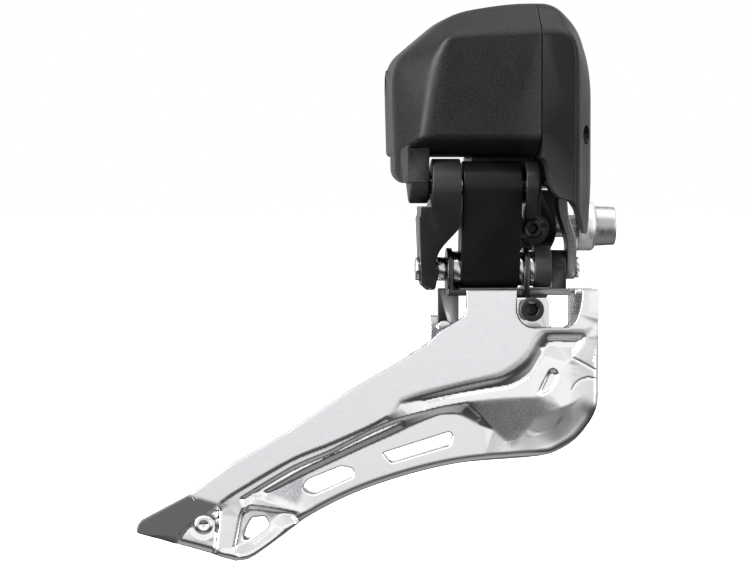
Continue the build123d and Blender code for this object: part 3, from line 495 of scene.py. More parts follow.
housing_low, housing_high = box_mm("motor_housing")
cover_low, cover_high = box_mm("front_cover")
gasket_low, gasket_high = box_mm("housing_gasket")
housing_rear = housing_low.x
housing_front = cover_high.x
housing_outer = housing_low.y
housing_inner = housing_high.y
housing_floor = gasket_low.z
housing_top = housing_high.z
shoulder_y = -22.0
wall_mm = 1.5
corner_steps = 7
edge_steps = 5
outer_face = (
    (-34.6, housing_floor + 4.0), (-31.1, 35.3), (-30.2, 39.4), (-28.6, 41.2), (-15.0, 41.9),
    (-4.6, 42.2), (-2.2, 41.0), (-1.1, 38.4), (-1.1, housing_floor + 4.0),
)
side_section = (
    (housing_rear + 0.5, housing_floor), (housing_rear, 35.4), (-34.0, 40.8), (-27.5, 46.2),
    (-15.0, housing_top - 0.1), (-5.1, housing_top), (0.0, 43.0), (housing_front, 33.2),
    (housing_front, housing_floor),
)
back_section = (
    (housing_rear + 2.5, housing_floor), (housing_rear + 2.0, 34.4), (-32.8, 39.0),
    (-26.8, 44.0), (-15.0, housing_top - 2.4), (-5.8, housing_top - 2.3), (-1.6, 41.6),
    (housing_front - 1.6, 32.8), (housing_front - 1.6, housing_floor),
)
corner_rounds = (1.2, 5.0, 3.0, 5.0, 12.0, 3.0, 3.0, 6.0, 1.2)


def inset_outline(outline, inset):
    """The outline with every side moved in by the inset, corners kept."""
    points = [Vector(p) for p in outline]
    count = len(points)
    area = sum(
        points[i].x * points[(i + 1) % count].y - points[(i + 1) % count].x * points[i].y
        for i in range(count)
    )
    turn = 1.0 if area > 0 else -1.0
    moved = []
    for i in range(count):
        before, here, after = points[i - 1], points[i], points[(i + 1) % count]
        first = (here - before).normalized()
        second = (after - here).normalized()
        normal_1 = Vector((-first.y, first.x)) * turn
        normal_2 = Vector((-second.y, second.x)) * turn
        middle = normal_1 + normal_2
        middle = middle / max(middle.length_squared, 1e-6) * 2.0
        moved.append(here + middle * inset)
    return moved


def rounded_ring(outline, inset):
    """The outline as many points, its corners turned into soft curves."""
    points = inset_outline(outline, inset)
    count = len(points)
    ring = []
    for i in range(count):
        before, here, after = points[i - 1], points[i], points[(i + 1) % count]
        reach = max(corner_rounds[i] - inset, 0.5)
        reach_back = min(reach, 0.45 * (here - before).length)
        reach_on = min(reach, 0.45 * (after - here).length)
        start = here + (before - here).normalized() * reach_back
        end = here + (after - here).normalized() * reach_on
        for k in range(corner_steps):
            t = k / (corner_steps - 1)
            ring.append(start * (1 - t) ** 2 + here * 2 * t * (1 - t) + end * t * t)
        next_round = max(corner_rounds[(i + 1) % count] - inset, 0.5)
        next_reach = min(next_round, 0.45 * (after - here).length)
        finish = after + (here - after).normalized() * next_reach
        for k in range(1, edge_steps):
            ring.append(end.lerp(finish, k / edge_steps))
    return np.array([(p.x, p.y) for p in ring])


def soft_edge(first, corner, last, steps=6):
    """Rings that turn from one ring to another round a corner ring."""
    rings = []
    for k in range(steps):
        t = k / (steps - 1)
        rings.append(first * (1 - t) ** 2 + corner * 2 * t * (1 - t) + last * t * t)
    return rings


def housing_block(name, inset):
    """The whole housing as one closed block with soft corners, every wall moved in by inset."""

    def ring(outline, y, more=0.0):
        flat = rounded_ring(outline, inset + more)
        return np.column_stack((flat[:, 0], np.full(len(flat), y), flat[:, 1]))

    front = housing_outer + inset
    back = housing_inner - inset
    face = ring(outer_face, front)
    shoulder = ring(side_section, shoulder_y)
    rear = ring(side_section, housing_inner - 4.0)
    end = ring(back_section, back)
    first = ring(outer_face, front, 0.9)
    first[:, 0] += 2.8 * np.clip((-27.5 - first[:, 0]) / 3.5, 0, 1)
    rings = soft_edge(first, face, face + (shoulder - face) * 0.20, 9)
    rings += [face + (shoulder - face) * t for t in (0.34, 0.44, 0.55, 0.66)]
    rings += soft_edge(
        face + (shoulder - face) * 0.78, shoulder, shoulder + (rear - shoulder) * 0.10, 7
    )
    rings += [shoulder + (rear - shoulder) * t for t in (0.25, 0.4, 0.55, 0.7, 0.85)]
    rings += soft_edge(shoulder + (rear - shoulder) * 0.95, rear, rear + (end - rear) * 0.3, 5)
    rings += soft_edge(rear + (end - rear) * 0.7, end, ring(back_section, back, 1.0), 5)
    count = len(rings[0])
    shape = bmesh.new()
    grid = [[shape.verts.new(Vector(p) * MM) for p in r] for r in rings]
    for low, high in zip(grid, grid[1:]):
        for i in range(count):
            j = (i + 1) % count
            shape.faces.new((low[i], low[j], high[j], high[i]))
    shape.faces.new(list(reversed(grid[0])))
    shape.faces.new(grid[-1])
    bmesh.ops.recalc_face_normals(shape, faces=shape.faces)
    return piece_from(name, shape)


def prism(name, axis, outline, start, end, ease=0.0, steps=3):
    """A straight block: an outline across the axis, from start to end, in millimetres."""
    shape = bmesh.new()
    turned = {"X": (2, 0, 1), "Y": (0, 2, 1), "Z": (0, 1, 2)}[axis]
    loops = []
    for w in (start, end):
        spots = [Vector([(u, v, w)[k] for k in turned]) for u, v in outline]
        loops.append([shape.verts.new(spot * MM) for spot in spots])
    count = len(outline)
    shape.faces.new(loops[0])
    shape.faces.new(list(reversed(loops[1])))
    for i in range(count):
        j = (i + 1) % count
        shape.faces.new((loops[0][j], loops[0][i], loops[1][i], loops[1][j]))
    bmesh.ops.recalc_face_normals(shape, faces=shape.faces)
    if ease:
        sharp = [e for e in shape.edges if e.calc_face_angle(0.0) > math.radians(28)]
        bmesh.ops.bevel(
            shape, geom=sharp, offset=ease * MM, segments=steps, profile=0.5,
            affect="EDGES", clamp_overlap=True,
        )
    return piece_from(name, shape)


def round_corners(points, radius, steps=5):
    """A closed outline with its corners turned into short curves."""
    points = [np.array(p, float) for p in points]
    out = []
    count = len(points)
    for i in range(count):
        before, here, after = points[i - 1], points[i], points[(i + 1) % count]
        back, on = before - here, after - here
        reach_back = min(radius, 0.45 * np.linalg.norm(back))
        reach_on = min(radius, 0.45 * np.linalg.norm(on))
        start = here + back / np.linalg.norm(back) * reach_back
        end = here + on / np.linalg.norm(on) * reach_on
        for k in range(steps):
            t = k / (steps - 1)
            out.append(start * (1 - t) ** 2 + here * 2 * t * (1 - t) + end * t * t)
    return out


def round_outline(centre, radius, count=40):
    """A circle as an outline."""
    return [
        (centre[0] + radius * math.cos(2 * math.pi * k / count),
         centre[1] + radius * math.sin(2 * math.pi * k / count))
        for k in range(count)
    ]


def bake(piece):
    """What the piece's modifiers make becomes its own plain mesh."""
    made = piece.evaluated_get(bpy.context.evaluated_depsgraph_get())
    mesh = bpy.data.meshes.new_from_object(made)
    piece.modifiers.clear()
    piece.data = mesh


def combine(piece, tool, how):
    """Adds, takes away or keeps what is shared with the tool, and removes the tool."""
    work = piece.modifiers.new("combine", "BOOLEAN")
    work.object = tool
    work.operation = how
    work.solver = "EXACT"
    bake(piece)
    bpy.data.objects.remove(tool)
    return piece


def copy_of(piece, name):
    return placed(name, piece.data.copy())


def cut_at(piece, axis, place, keep_low):
    """Cuts a closed piece at a plane across an axis, keeps one side and closes the cut."""
    shape = bmesh.new()
    shape.from_mesh(piece.data)
    across = Vector([float(name == axis) for name in "XYZ"])
    bmesh.ops.bisect_plane(
        shape, geom=list(shape.verts) + list(shape.edges) + list(shape.faces),
        plane_co=across * (place * MM), plane_no=across,
        clear_outer=keep_low, clear_inner=not keep_low,
    )
    rim = [e for e in shape.edges if e.is_boundary]
    bmesh.ops.holes_fill(shape, edges=rim, sides=0)
    bmesh.ops.recalc_face_normals(shape, faces=shape.faces)
    shape.to_mesh(piece.data)
    shape.free()
    return piece


def smooth_by_angle(piece, angle=32.0):
    for face in piece.data.polygons:
        face.use_smooth = True
    piece.data.set_sharp_from_angle(angle=math.radians(angle))
    return piece


block = housing_block("housing_block", 0.0)
hollow = housing_block("housing_hollow", wall_mm)
gasket_skin = housing_block("gasket_skin", 0.25)


def block_plan(z):
    """The level outline of the housing at a height, from its middle round by the outside."""
    level = bmesh.new()
    level.from_mesh(block.data)
    bmesh.ops.bisect_plane(
        level, geom=list(level.verts) + list(level.edges) + list(level.faces),
        plane_co=(0, 0, z * MM), plane_no=(0, 0, 1), clear_inner=True, clear_outer=True,
    )
    points = {(round(v.co.x / MM, 3), round(v.co.y / MM, 3)) for v in level.verts}
    level.free()
    middle = ((housing_rear + housing_front) / 2, (housing_outer + housing_inner) / 2)
    kept = []
    for point in sorted(points, key=lambda p: math.atan2(p[1] - middle[1], p[0] - middle[0])):
        if not kept or math.dist(point, kept[-1]) > 0.15:
            kept.append(point)
    return kept


screw_places = ((2.7, 20.5), (2.7, 37.5), (-25.5, 20.0))
screw_seat_radius = 3.3
screw_well_radius = 2.1
rear_shell = cut_at(copy_of(block, "motor_housing_shell"), "X", gasket_low.x, True)

# the rear shell's lobes: one round the output shaft and its lever, one round the gears
output_axis = (-22.0, 9.3)
lobe_rear = housing_low.x + 3.65
lobe_front = housing_low.x + 7.85
lobe_wall = 0.8
shaft_lobe_radius = 4.0
lever_lobe_radius = 3.0
lever_lobe_centre = (output_axis[0] + 8.0, output_axis[1] + 3.9)
lobe_head = 17.6
sector_outline = []
for centre, radius, first_turn, arc, points in (
    (output_axis, shaft_lobe_radius, 180, 116, 14),
    (lever_lobe_centre, lever_lobe_radius, 296, 64, 8),
):
    for k in range(points):
        turn = math.radians(first_turn + k * arc / (points - 1))
        sector_outline.append(
            (centre[0] + radius * math.cos(turn), centre[1] + radius * math.sin(turn))
        )
sector_outline += [
    (lever_lobe_centre[0] + lever_lobe_radius, lobe_head),
    (output_axis[0] - shaft_lobe_radius, lobe_head),
]
combine(rear_shell, prism("sector_lobe", "X", sector_outline, lobe_rear, lobe_front, 0.5), "UNION")
gear_lobe = (
    (housing_rear + 0.55, 21.0), (housing_rear + 0.75, 12.0), (housing_rear + 1.3, 10.8),
    (housing_rear + 2.8, 9.6), (lobe_front, 9.6), (lobe_front, 17.3), (lobe_front - 2.0, 21.0),
)
gear_block = prism("gear_lobe", "Y", round_corners(gear_lobe, 0.8), -26.1, -8.5, 0.4, 3)
lobe_plan = [(x * 0.999, y * 0.999) for x, y in block_plan(20.4)]
combine(gear_block, prism("lobe_plan", "Z", lobe_plan, 0.0, 30.0), "INTERSECT")
combine(rear_shell, gear_block, "UNION")
combine(rear_shell, copy_of(hollow, "hollow_tool"), "DIFFERENCE")
shrink = 0.8
sector_hollow = [
    (
        output_axis[0] + (y - output_axis[0]) * shrink + 0.2,
        output_axis[1] + (z - output_axis[1]) * shrink if z < 17 else 17.9,
    )
    for y, z in sector_outline
]
# the gears' hollow stops short of the lobe's slanted outer side
gear_hollow_outer = -21.8
gear_hollow_inner = -9.3
gear_hollow = (
    (housing_rear + 1.4, lobe_head), (housing_rear + 1.6, 12.8), (housing_rear + 3.2, 10.4),
    (lobe_front - lobe_wall, 10.4), (lobe_front - lobe_wall, lobe_head),
)
for cavity in (
    prism("sector_hollow", "X", sector_hollow, lobe_rear + lobe_wall, lobe_front - lobe_wall),
    prism("gear_hollow", "Y", gear_hollow, gear_hollow_outer, gear_hollow_inner),
):
    combine(rear_shell, cavity, "DIFFERENCE")
port_low, port_high = box_mm("wire_port")
port_place = ((port_low.y + port_high.y) / 2, (port_low.z + port_high.z) / 2)
port_radius = (port_high.y - port_low.y) / 2
port_hole = round_outline(port_place, port_radius + 0.02)
shaft_hole = round_outline(output_axis, 2.06)
for hole in (
    prism("port_hole", "X", port_hole, housing_rear - 1, port_high.x + 1),
    prism("shaft_hole", "X", shaft_hole, lobe_front - 2, lobe_front + 1),
):
    combine(rear_shell, hole, "DIFFERENCE")
housing_black = painted(
    "housing_matt_nylon", grey(0.006), grey(0.009), 0.42, 0.36, 0.10, relief=0.9, speckle=0.35
)
finish_piece(smooth_by_angle(rear_shell), "base", "housing_black", housing_black, "motor_housing")

cover = cut_at(copy_of(block, "front_cover_shell"), "X", gasket_high.x, False)
fin_outline = [
    (housing_front + 1, 25.0), (housing_front + 1, 12.0), (housing_front - 0.25, 9.0),
    (housing_front - 0.4, 6.9), (2.1, 1.5), (1.78, -0.6), (1.55, -1.05), (1.2, -1.2),
    (0.85, -1.05), (0.6, -0.5), (0.25, 1.0), (-0.3, 2.5), (-1.0, 4.2), (-1.9, 5.6),
    (-2.8, 6.1), (-4.1, 6.35), (-5.2, 6.8), (-6.2, 7.9), (-6.9, 9.2), (-7.4, 11.2),
    (-7.6, 13.4), (-8.0, 14.6), (gasket_high.x, 15.2), (gasket_high.x, 25.0),
]
# the fin is the cover's own corner, carried on downwards
fin_plan = [(x - 0.02, y + 0.02) for x, y in block_plan(25.0)]
fin_plan = (
    [(-12.0, housing_outer + 0.02)]
    + [(x, y) for x, y in fin_plan if -11.8 < x and y < -20.8]
    + [(housing_front - 0.02, -20.6), (-12.0, -20.6)]
)
fin = prism("cover_fin", "Z", fin_plan, -10.0, 24.0)
combine(fin, prism("fin_shape", "Y", fin_outline, -40.0, -10.0), "INTERSECT")
combine(cover, fin, "UNION")
combine(cover, copy_of(hollow, "hollow_tool"), "DIFFERENCE")
for place in screw_places:
    rim = round_outline(place, screw_seat_radius, 32)
    seat = prism("screw_seat", "X", rim, gasket_high.x, housing_front - 1.0)
    combine(seat, copy_of(block, "seat_limit"), "INTERSECT")
    combine(cover, seat, "UNION")
    bore = round_outline(place, screw_well_radius, 32)
    well = prism("screw_well", "X", bore, -4.0, housing_front + 1)
    combine(cover, well, "DIFFERENCE")
cover_black = painted(
    "cover_smooth_nylon", (0.006, 0.006, 0.0065), (0.009, 0.009, 0.0095), 0.33, 0.6, 0.10
)
finish_piece(smooth_by_angle(cover), "base", "cover_black", cover_black, "front_cover")

gasket = cut_at(cut_at(gasket_skin, "X", gasket_low.x, False), "X", gasket_high.x, True)
combine(gasket, hollow, "DIFFERENCE")
seal_rubber = painted("seal_moulded_rubber", grey(0.006), grey(0.010), 0.7, 0.2, 0.0)
finish_piece(smooth_by_angle(gasket), "base", "seal_rubber", seal_rubber, "housing_gasket")
bpy.data.objects.remove(block)

machined("case_screws", "base", "black_steel", black_steel, 0.10)
machined("shaft_seal", "base", "seal_rubber", seal_rubber, 0.08)
port_black = painted(
    "port_moulding", (0.010, 0.010, 0.011), (0.017, 0.017, 0.018), 0.35, 0.3, 0.1
)
machined("wire_port", "base", "port_black", port_black, 0.15)

# ======== lower outer hinge: long pin, thrust washers and front block ========
# The pin is ground steel with a domed head, and it is pressed into a black steel block at
# the front. Plain washers keep the cage's ears apart from the link.
machined("lower_outer_pin", "outer_link", "bright_steel", bright_steel, 0.32, 3)
machined("pin_spacers", "outer_link", "bright_steel", bright_steel, 0.12)
machined("front_pivot_block", "outer_link", "black_steel", black_steel, 0.30, 3)

# ======== inner link: cast link with a steel strap at its front ========
# The strap is tumbled steel with a coarse satin skin. The lower pin is fixed in it and the
# clips snap into grooves at the pin's ends.
cast_grey = bare_metal(
    "tumbled_strap_steel", (0.24, 0.24, 0.235), (0.44, 0.435, 0.43), 0.42,
    (2500.0, 2500.0, 2500.0), 0.02
)
machined("inner_link", "inner_link", "link_black", link_black, 0.25, 3)
machined("inner_link_strap", "inner_link", "bright_steel", cast_grey, 0.35, 3)
machined("lower_inner_pin", "inner_link", "bright_steel", bright_steel, 0.2)
machined("lower_inner_clips", "inner_link", "bright_steel", bright_steel, 0.1)

# ======== cage carrier and its screw ========
# A black plated steel bracket: two ears on the inner hinge, a boss for the cage screw and a
# leg that is riveted to the inner cage plate.
machined("cage_carrier", "cage", "black_steel", black_steel, 0.25, 3)
lug_silver = bare_metal(
    "lug_polished_alloy", (0.70, 0.70, 0.71), (0.80, 0.80, 0.81), 0.12, (900.0, 900.0, 3000.0),
    0.002
)
machined("cage_lug", "cage", "cage_silver", lug_silver, 0.55, 4)
machined("cage_screw", "cage", "black_steel", black_steel, 0.30, 3)
machined("leg_rivet", "cage", "cage_silver", lug_silver, 0.25, 3)


def lathe(name, profile, centre, count=48):
    """A turned piece along Y, from (radius, y) points in millimetres round (x, z)."""
    shape = bmesh.new()
    rings = []
    for radius, y in profile:
        spots = [(0.0, 0.0)] if radius == 0 else round_outline((0.0, 0.0), radius, count)
        rings.append([
            shape.verts.new(Vector((centre[0] + u, y, centre[1] + v)) * MM) for u, v in spots
        ])
    for low, high in zip(rings, rings[1:]):
        for k in range(count):
            spots = ((low, k), (low, k + 1), (high, k + 1), (high, k))
            corners = [ring[n % len(ring)] for ring, n in spots]
            shape.faces.new([v for i, v in enumerate(corners) if v not in corners[:i]])
    bmesh.ops.recalc_face_normals(shape, faces=shape.faces)
    return smooth_by_angle(piece_from(name, shape), 35.0)


# the tail rivet: its outer head is spun over into a ring with a punched dimple
rivet_low, rivet_high = box_mm("tail_rivet")
rivet_centre = ((rivet_low.x + rivet_high.x) / 2, (rivet_low.z + rivet_high.z) / 2)
rivet_head = (rivet_high.x - rivet_low.x) / 2
rivet_face, rivet_end = rivet_low.y, rivet_high.y
rivet_profile = [
    (0.0, rivet_face + 0.42), (0.45, rivet_face + 0.40), (0.75, rivet_face + 0.28),
    (0.9, rivet_face + 0.08), (1.05, rivet_face), (1.35, rivet_face + 0.03),
    (1.7, rivet_face + 0.16), (rivet_head - 0.08, rivet_face + 0.42),
    (rivet_head, rivet_face + 0.7), (1.4, rivet_face + 0.7), (1.4, rivet_end - 0.7),
    (rivet_head, rivet_end - 0.7), (rivet_head - 0.08, rivet_end - 0.4),
    (1.7, rivet_end - 0.12), (1.2, rivet_end), (0.0, rivet_end),
]
rivet = lathe("tail_rivet_turned", rivet_profile, rivet_centre)
finish_piece(rivet, "cage", "cage_silver", lug_silver, "tail_rivet")
machined("tail_spacer", "cage", "cage_silver", lug_silver, 0.12)

# ======== outer cage plate ========
# Pressed from aluminium sheet: a flat satin panel above, a polished band that runs the
# length of the cage, and a set-back lower panel with three slots and a rolled rim. The tail
# is dipped in dark grey coating. The top edge is folded in and carries two hinge ears.
plate_y = box_mm("outer_cage_plate")[0].y
sheet_mm = 1.3


def curve_through(points, step):
    """Evenly spaced points on a smooth curve through the given ones."""
    points = np.array(points, float)
    padded = np.vstack((2 * points[0] - points[1], points, 2 * points[-1] - points[-2]))
    out = []
    for i in range(1, len(padded) - 2):
        p0, p1, p2, p3 = padded[i - 1:i + 3]
        steps = max(2, int(np.linalg.norm(p2 - p1) / step))
        for k in range(steps):
            t = k / steps
            out.append(0.5 * (
                2 * p1 + (p2 - p0) * t + (2 * p0 - 5 * p1 + 4 * p2 - p3) * t * t
                + (3 * p1 - p0 - 3 * p2 + p3) * t ** 3
            ))
    out.append(points[-1])
    return np.array(out)


def line_through(points, step):
    """Evenly spaced points on straight runs between the given ones."""
    out = []
    for first, last in zip(points, points[1:]):
        first, last = np.array(first, float), np.array(last, float)
        steps = max(1, int(round(np.linalg.norm(last - first) / step)))
        out += [first + (last - first) * k / steps for k in range(steps)]
    out.append(np.array(points[-1], float))
    return np.array(out)


def inside(points, outline):
    """Which points lie inside a closed outline."""
    x, z = points[:, 0], points[:, 1]
    result = np.zeros(len(points), bool)
    for (x1, z1), (x2, z2) in zip(outline, np.roll(outline, -1, axis=0)):
        crosses = (z1 > z) != (z2 > z)
        if z1 != z2:
            result ^= crosses & (x < (x2 - x1) * (z - z1) / (z2 - z1) + x1)
    return result


def distance_to(points, line, closed=True):
    """How far each point is from a line of points."""
    best = np.full(len(points), 1e9)
    ends = np.roll(line, -1, axis=0) if closed else line[1:]
    for a, b in zip(line if closed else line[:-1], ends):
        run = b - a
        t = np.clip(((points - a) @ run) / max(run @ run, 1e-12), 0, 1)
        best = np.minimum(best, np.hypot(*(points - a - t[:, None] * run).T))
    return best


def soft_from(z):
    """How far forward the sharp folds reach at a height: the nose beyond is softly drawn."""
    return np.interp(
        z, [-60, -46.5, -44, -40, -38.5, -36, -34, -30, -27, -24.5],
        [-20.0, -16.0, -6.5, -2.5, -2.0, 1.0, 0.2, -0.6, 1.2, 2.5],
    )


class Relief:
    """The pressing's depth, from fold lines of (x, z, depth) joined by flat facets and
    then rounded over, held on an even raster."""

    def __init__(self, lines, low, high, cell=0.1, round_over=0.16):
        self.low, self.cell = np.array(low) - 1.0, cell
        self.shape = tuple(int(n) for n in (np.array(high) - np.array(low) + 2.0) / cell + 2)
        self.depth = np.zeros(self.shape)
        filled = np.zeros(self.shape)
        nodes, bars = [], []
        for line, closed in lines:
            start = len(nodes)
            nodes += [tuple(p) for p in line]
            bars += [(start + i, start + i + 1) for i in range(len(line) - 1)]
            if closed:
                bars.append((len(nodes) - 1, start))
        verts, _, faces, origin, _, _ = delaunay_2d_cdt(
            [Vector((p[0], p[1])) for p in nodes], bars, [], 0, 1e-5
        )
        place = (np.array([(v.x, v.y) for v in verts]) - self.low) / cell
        known = [i for i in range(len(verts)) if origin[i]]
        depth = np.zeros(len(verts))
        for i in known:
            depth[i] = np.mean([nodes[k][2] for k in origin[i]])
        for i in set(range(len(verts))) - set(known):
            nearest = np.argsort(np.hypot(*(place[known] - place[i]).T))[:2]
            depth[i] = depth[np.array(known)[nearest]].mean()
        for face in faces:
            self.fill(place[list(face)], depth[list(face)], filled)
        blurred, weight = self.blur(self.depth * filled, round_over), self.blur(filled, round_over)
        self.depth = blurred / np.maximum(weight, 1e-3)
        # the nose is drawn over a much wider radius than the folds behind it
        x = self.low[0] + np.arange(self.shape[0])[:, None] * cell
        z = self.low[1] + np.arange(self.shape[1])[None, :] * cell
        nose = np.clip((x - soft_from(z)) / 1.2, 0, 1) * np.clip((-23.2 - z) / 0.8, 0, 1)
        self.depth += (self.blur(self.depth, 1.0) - self.depth) * nose

    def fill(self, corners, depth, filled):
        """Writes one flat facet into the raster."""
        a, b, c = corners
        spread = (b[0] - a[0]) * (c[1] - a[1]) - (c[0] - a[0]) * (b[1] - a[1])
        low = np.maximum(np.ceil(corners.min(0)).astype(int), 0)
        high = np.minimum(np.floor(corners.max(0)).astype(int), np.array(self.shape) - 1)
        if abs(spread) < 1e-9 or (high < low).any():
            return
        across, up = (np.arange(low[k], high[k] + 1) for k in (0, 1))
        x, z = np.meshgrid(across, up, indexing="ij")
        v = ((x - a[0]) * (c[1] - a[1]) - (c[0] - a[0]) * (z - a[1])) / spread
        w = ((b[0] - a[0]) * (z - a[1]) - (x - a[0]) * (b[1] - a[1])) / spread
        hit = (v >= -1e-6) & (w >= -1e-6) & (v + w <= 1 + 1e-6)
        value = depth[0] + v * (depth[1] - depth[0]) + w * (depth[2] - depth[0])
        self.depth[x[hit], z[hit]] = value[hit]
        filled[x[hit], z[hit]] = 1.0

    def blur(self, values, radius):
        """Rounds the raster over with a bell curve of the given radius in millimetres."""
        reach = np.arange(-int(3 * radius / self.cell), int(3 * radius / self.cell) + 1) * self.cell
        bell = np.exp(-0.5 * (reach / radius) ** 2)
        bell /= bell.sum()
        for axis in (0, 1):
            half = len(bell) // 2
            widths = [(half, half) if k == axis else (0, 0) for k in (0, 1)]
            padded = np.pad(values, widths, mode="edge")
            size = values.shape[axis]
            values = sum(
                weight * (padded[i:i + size] if axis == 0 else padded[:, i:i + size])
                for i, weight in enumerate(bell)
            )
        return values

    def at(self, points):
        """Depths at points, between the raster's cells."""
        spot = np.clip((points - self.low) / self.cell, 0, np.array(self.shape) - 1.001)
        i, j = spot[:, 0].astype(int), spot[:, 1].astype(int)
        u, v = spot[:, 0] - i, spot[:, 1] - j
        d = self.depth
        return (
            d[i, j] * (1 - u) * (1 - v) + d[i + 1, j] * u * (1 - v)
            + d[i, j + 1] * (1 - u) * v + d[i + 1, j + 1] * u * v
        )


def in_sheet(points, rims):
    """Which points lie inside the first rim and outside all the others."""
    keep = inside(points, rims[0])
    for hole in rims[1:]:
        keep &= ~inside(points, hole)
    return keep


def edge_gap(points, rims):
    """How far each point is from the nearest rim."""
    return np.min([distance_to(points, rim) for rim in rims], axis=0)


def pressed_plate(outline, holes, creases, spacing):
    """Flat points and triangles for a sheet: its rim, its slots, its creases, and an even
    fill of points between them."""
    rims = [outline] + holes
    points, bars = [], []
    for rim in rims:
        start = len(points)
        points += list(rim)
        bars += [(start + i, start + (i + 1) % len(rim)) for i in range(len(rim))]
    near_rim = []
    for rim in rims:
        along = np.roll(rim, -1, axis=0) - np.roll(rim, 1, axis=0)
        across = np.column_stack((-along[:, 1], along[:, 0]))
        across /= np.linalg.norm(across, axis=1)[:, None]
        for offset in (0.12, 0.28, 0.5):
            near_rim += [rim + across * offset * side for side in (1, -1)]
    near_rim = np.vstack(near_rim)
    near_rim = near_rim[in_sheet(near_rim, rims)]
    near_rim = near_rim[edge_gap(near_rim, rims) > 0.10]
    low, high = outline.min(0), outline.max(0)
    rows = int((high[1] - low[1]) / (spacing * 0.866)) + 1
    columns = int((high[0] - low[0]) / spacing) + 1
    grid = np.array([
        (low[0] + (c + 0.5 * (r % 2)) * spacing, low[1] + r * spacing * 0.866)
        for r in range(rows) for c in range(columns)
    ])
    grid = grid[in_sheet(grid, rims)]
    grid = grid[edge_gap(grid, rims) > 0.62]
    every = [np.array(points)]
    total = len(points)
    for line in creases:
        fine = line_through(line, spacing)
        keep = in_sheet(fine, rims) & (edge_gap(fine, rims) > 0.25)
        bars += [
            (total + i, total + i + 1) for i in range(len(fine) - 1) if keep[i] and keep[i + 1]
        ]
        every.append(fine)
        total += len(fine)
        grid = grid[distance_to(grid, fine, False) > spacing * 0.55]
        near_rim = near_rim[distance_to(near_rim, fine, False) > 0.12]
    every = np.vstack(every + [near_rim, grid])
    verts, _, faces, _, _, _ = delaunay_2d_cdt([Vector(p) for p in every], bars, [], 0, 1e-4)
    place = np.array([(v.x, v.y) for v in verts])
    faces = np.array([f for f in faces if len(f) == 3])
    faces = faces[in_sheet(place[faces].mean(1), rims)]
    used = np.unique(faces)
    renumber = np.full(len(place), -1)
    renumber[used] = np.arange(len(used))
    place, faces = place[used], renumber[faces]
    a, b, c = place[faces[:, 0]], place[faces[:, 1]], place[faces[:, 2]]
    turn = (b[:, 0] - a[:, 0]) * (c[:, 1] - a[:, 1]) - (c[:, 0] - a[:, 0]) * (b[:, 1] - a[:, 1])
    faces[turn < 0] = faces[turn < 0][:, ::-1]
    return place, faces


def soften(values, faces, rounds):
    """Averages each point's value with its neighbours'."""
    edges = np.vstack((faces[:, [0, 1]], faces[:, [1, 2]], faces[:, [2, 0]]))
    edges = np.unique(np.sort(edges, axis=1), axis=0)
    for _ in range(rounds):
        total, count = values * 1.0, np.ones(len(values))
        np.add.at(total, edges[:, 0], values[edges[:, 1]])
        np.add.at(total, edges[:, 1], values[edges[:, 0]])
        np.add.at(count, edges[:, 0], 1)
        np.add.at(count, edges[:, 1], 1)
        values = total / count
    return values


def sheet_piece(name, place, faces, sides_at, attributes):
    """A closed sheet between the front and back surfaces that sides_at gives for points, in
    millimetres. Its shading follows those surfaces and not the triangles."""
    count = len(place)
    front, back = sides_at(place)
    verts = np.vstack((
        np.column_stack((place[:, 0], front, place[:, 1])),
        np.column_stack((place[:, 0], back, place[:, 1])),
    )) * MM
    sides = np.vstack((faces[:, [0, 1]], faces[:, [1, 2]], faces[:, [2, 0]]))
    keys = {tuple(e) for e in sides}
    rim = sorted(e for e in keys if (e[1], e[0]) not in keys)
    walls = [(b, a, a + count, b + count) for a, b in rim]
    mesh = bpy.data.meshes.new(name)
    mesh.from_pydata(
        verts.tolist(), [], faces.tolist() + (faces[:, ::-1] + count).tolist() + walls
    )
    for key, values in attributes.items():
        layer = mesh.attributes.new(key, "FLOAT", "POINT")
        layer.data.foreach_set("value", np.concatenate((values, values)).astype(np.float32))
    nudge = 0.05
    slope = []
    for axis in ((nudge, 0), (0, nudge)):
        ahead, behind = sides_at(place + np.array(axis)), sides_at(place - np.array(axis))
        slope.append([(h - l) / (2 * nudge) for h, l in zip(ahead, behind)])
    ones = np.ones(count)
    front_normal = np.column_stack((slope[0][0], -ones, slope[1][0]))
    back_normal = -np.column_stack((slope[0][1], -ones, slope[1][1]))
    flat = {}
    for a, b in rim:
        run = place[b] - place[a]
        for v in (a, b):
            flat[v] = flat.get(v, np.zeros(2)) + np.array((run[1], -run[0])) / np.hypot(*run)
    wall_normal = np.zeros((2 * count, 3))
    for v, push in flat.items():
        wall_normal[[v, v + count]] = (push[0], 0, push[1])
    corners = np.zeros(len(mesh.loops), int)
    mesh.loops.foreach_get("vertex_index", corners)
    normals = np.vstack((front_normal, back_normal))[corners]
    first_wall = 6 * len(faces)
    normals[first_wall:] = wall_normal[corners[first_wall:]]
    normals /= np.maximum(np.linalg.norm(normals, axis=1), 1e-6)[:, None]
    for face in mesh.polygons:
        face.use_smooth = True
    mesh.normals_split_custom_set(normals.tolist())
    return placed(name, mesh)


def roll_over(distance, radius):
    """How far a surface falls away at a distance from an edge of that radius."""
    near = np.clip(1 - distance / radius, 0, 1)
    return radius * (1 - np.sqrt(np.clip(1 - near ** 2, 0, 1)))


def closed_outline(step, start, runs):
    """A closed outline: straight and curved runs of points, each from the last one's end."""
    make = {"line": line_through, "curve": curve_through}
    pieces = []
    for kind, *points in runs:
        pieces.append(make[kind]([start] + points, step)[:-1])
        start = points[-1]
    return np.vstack(pieces)


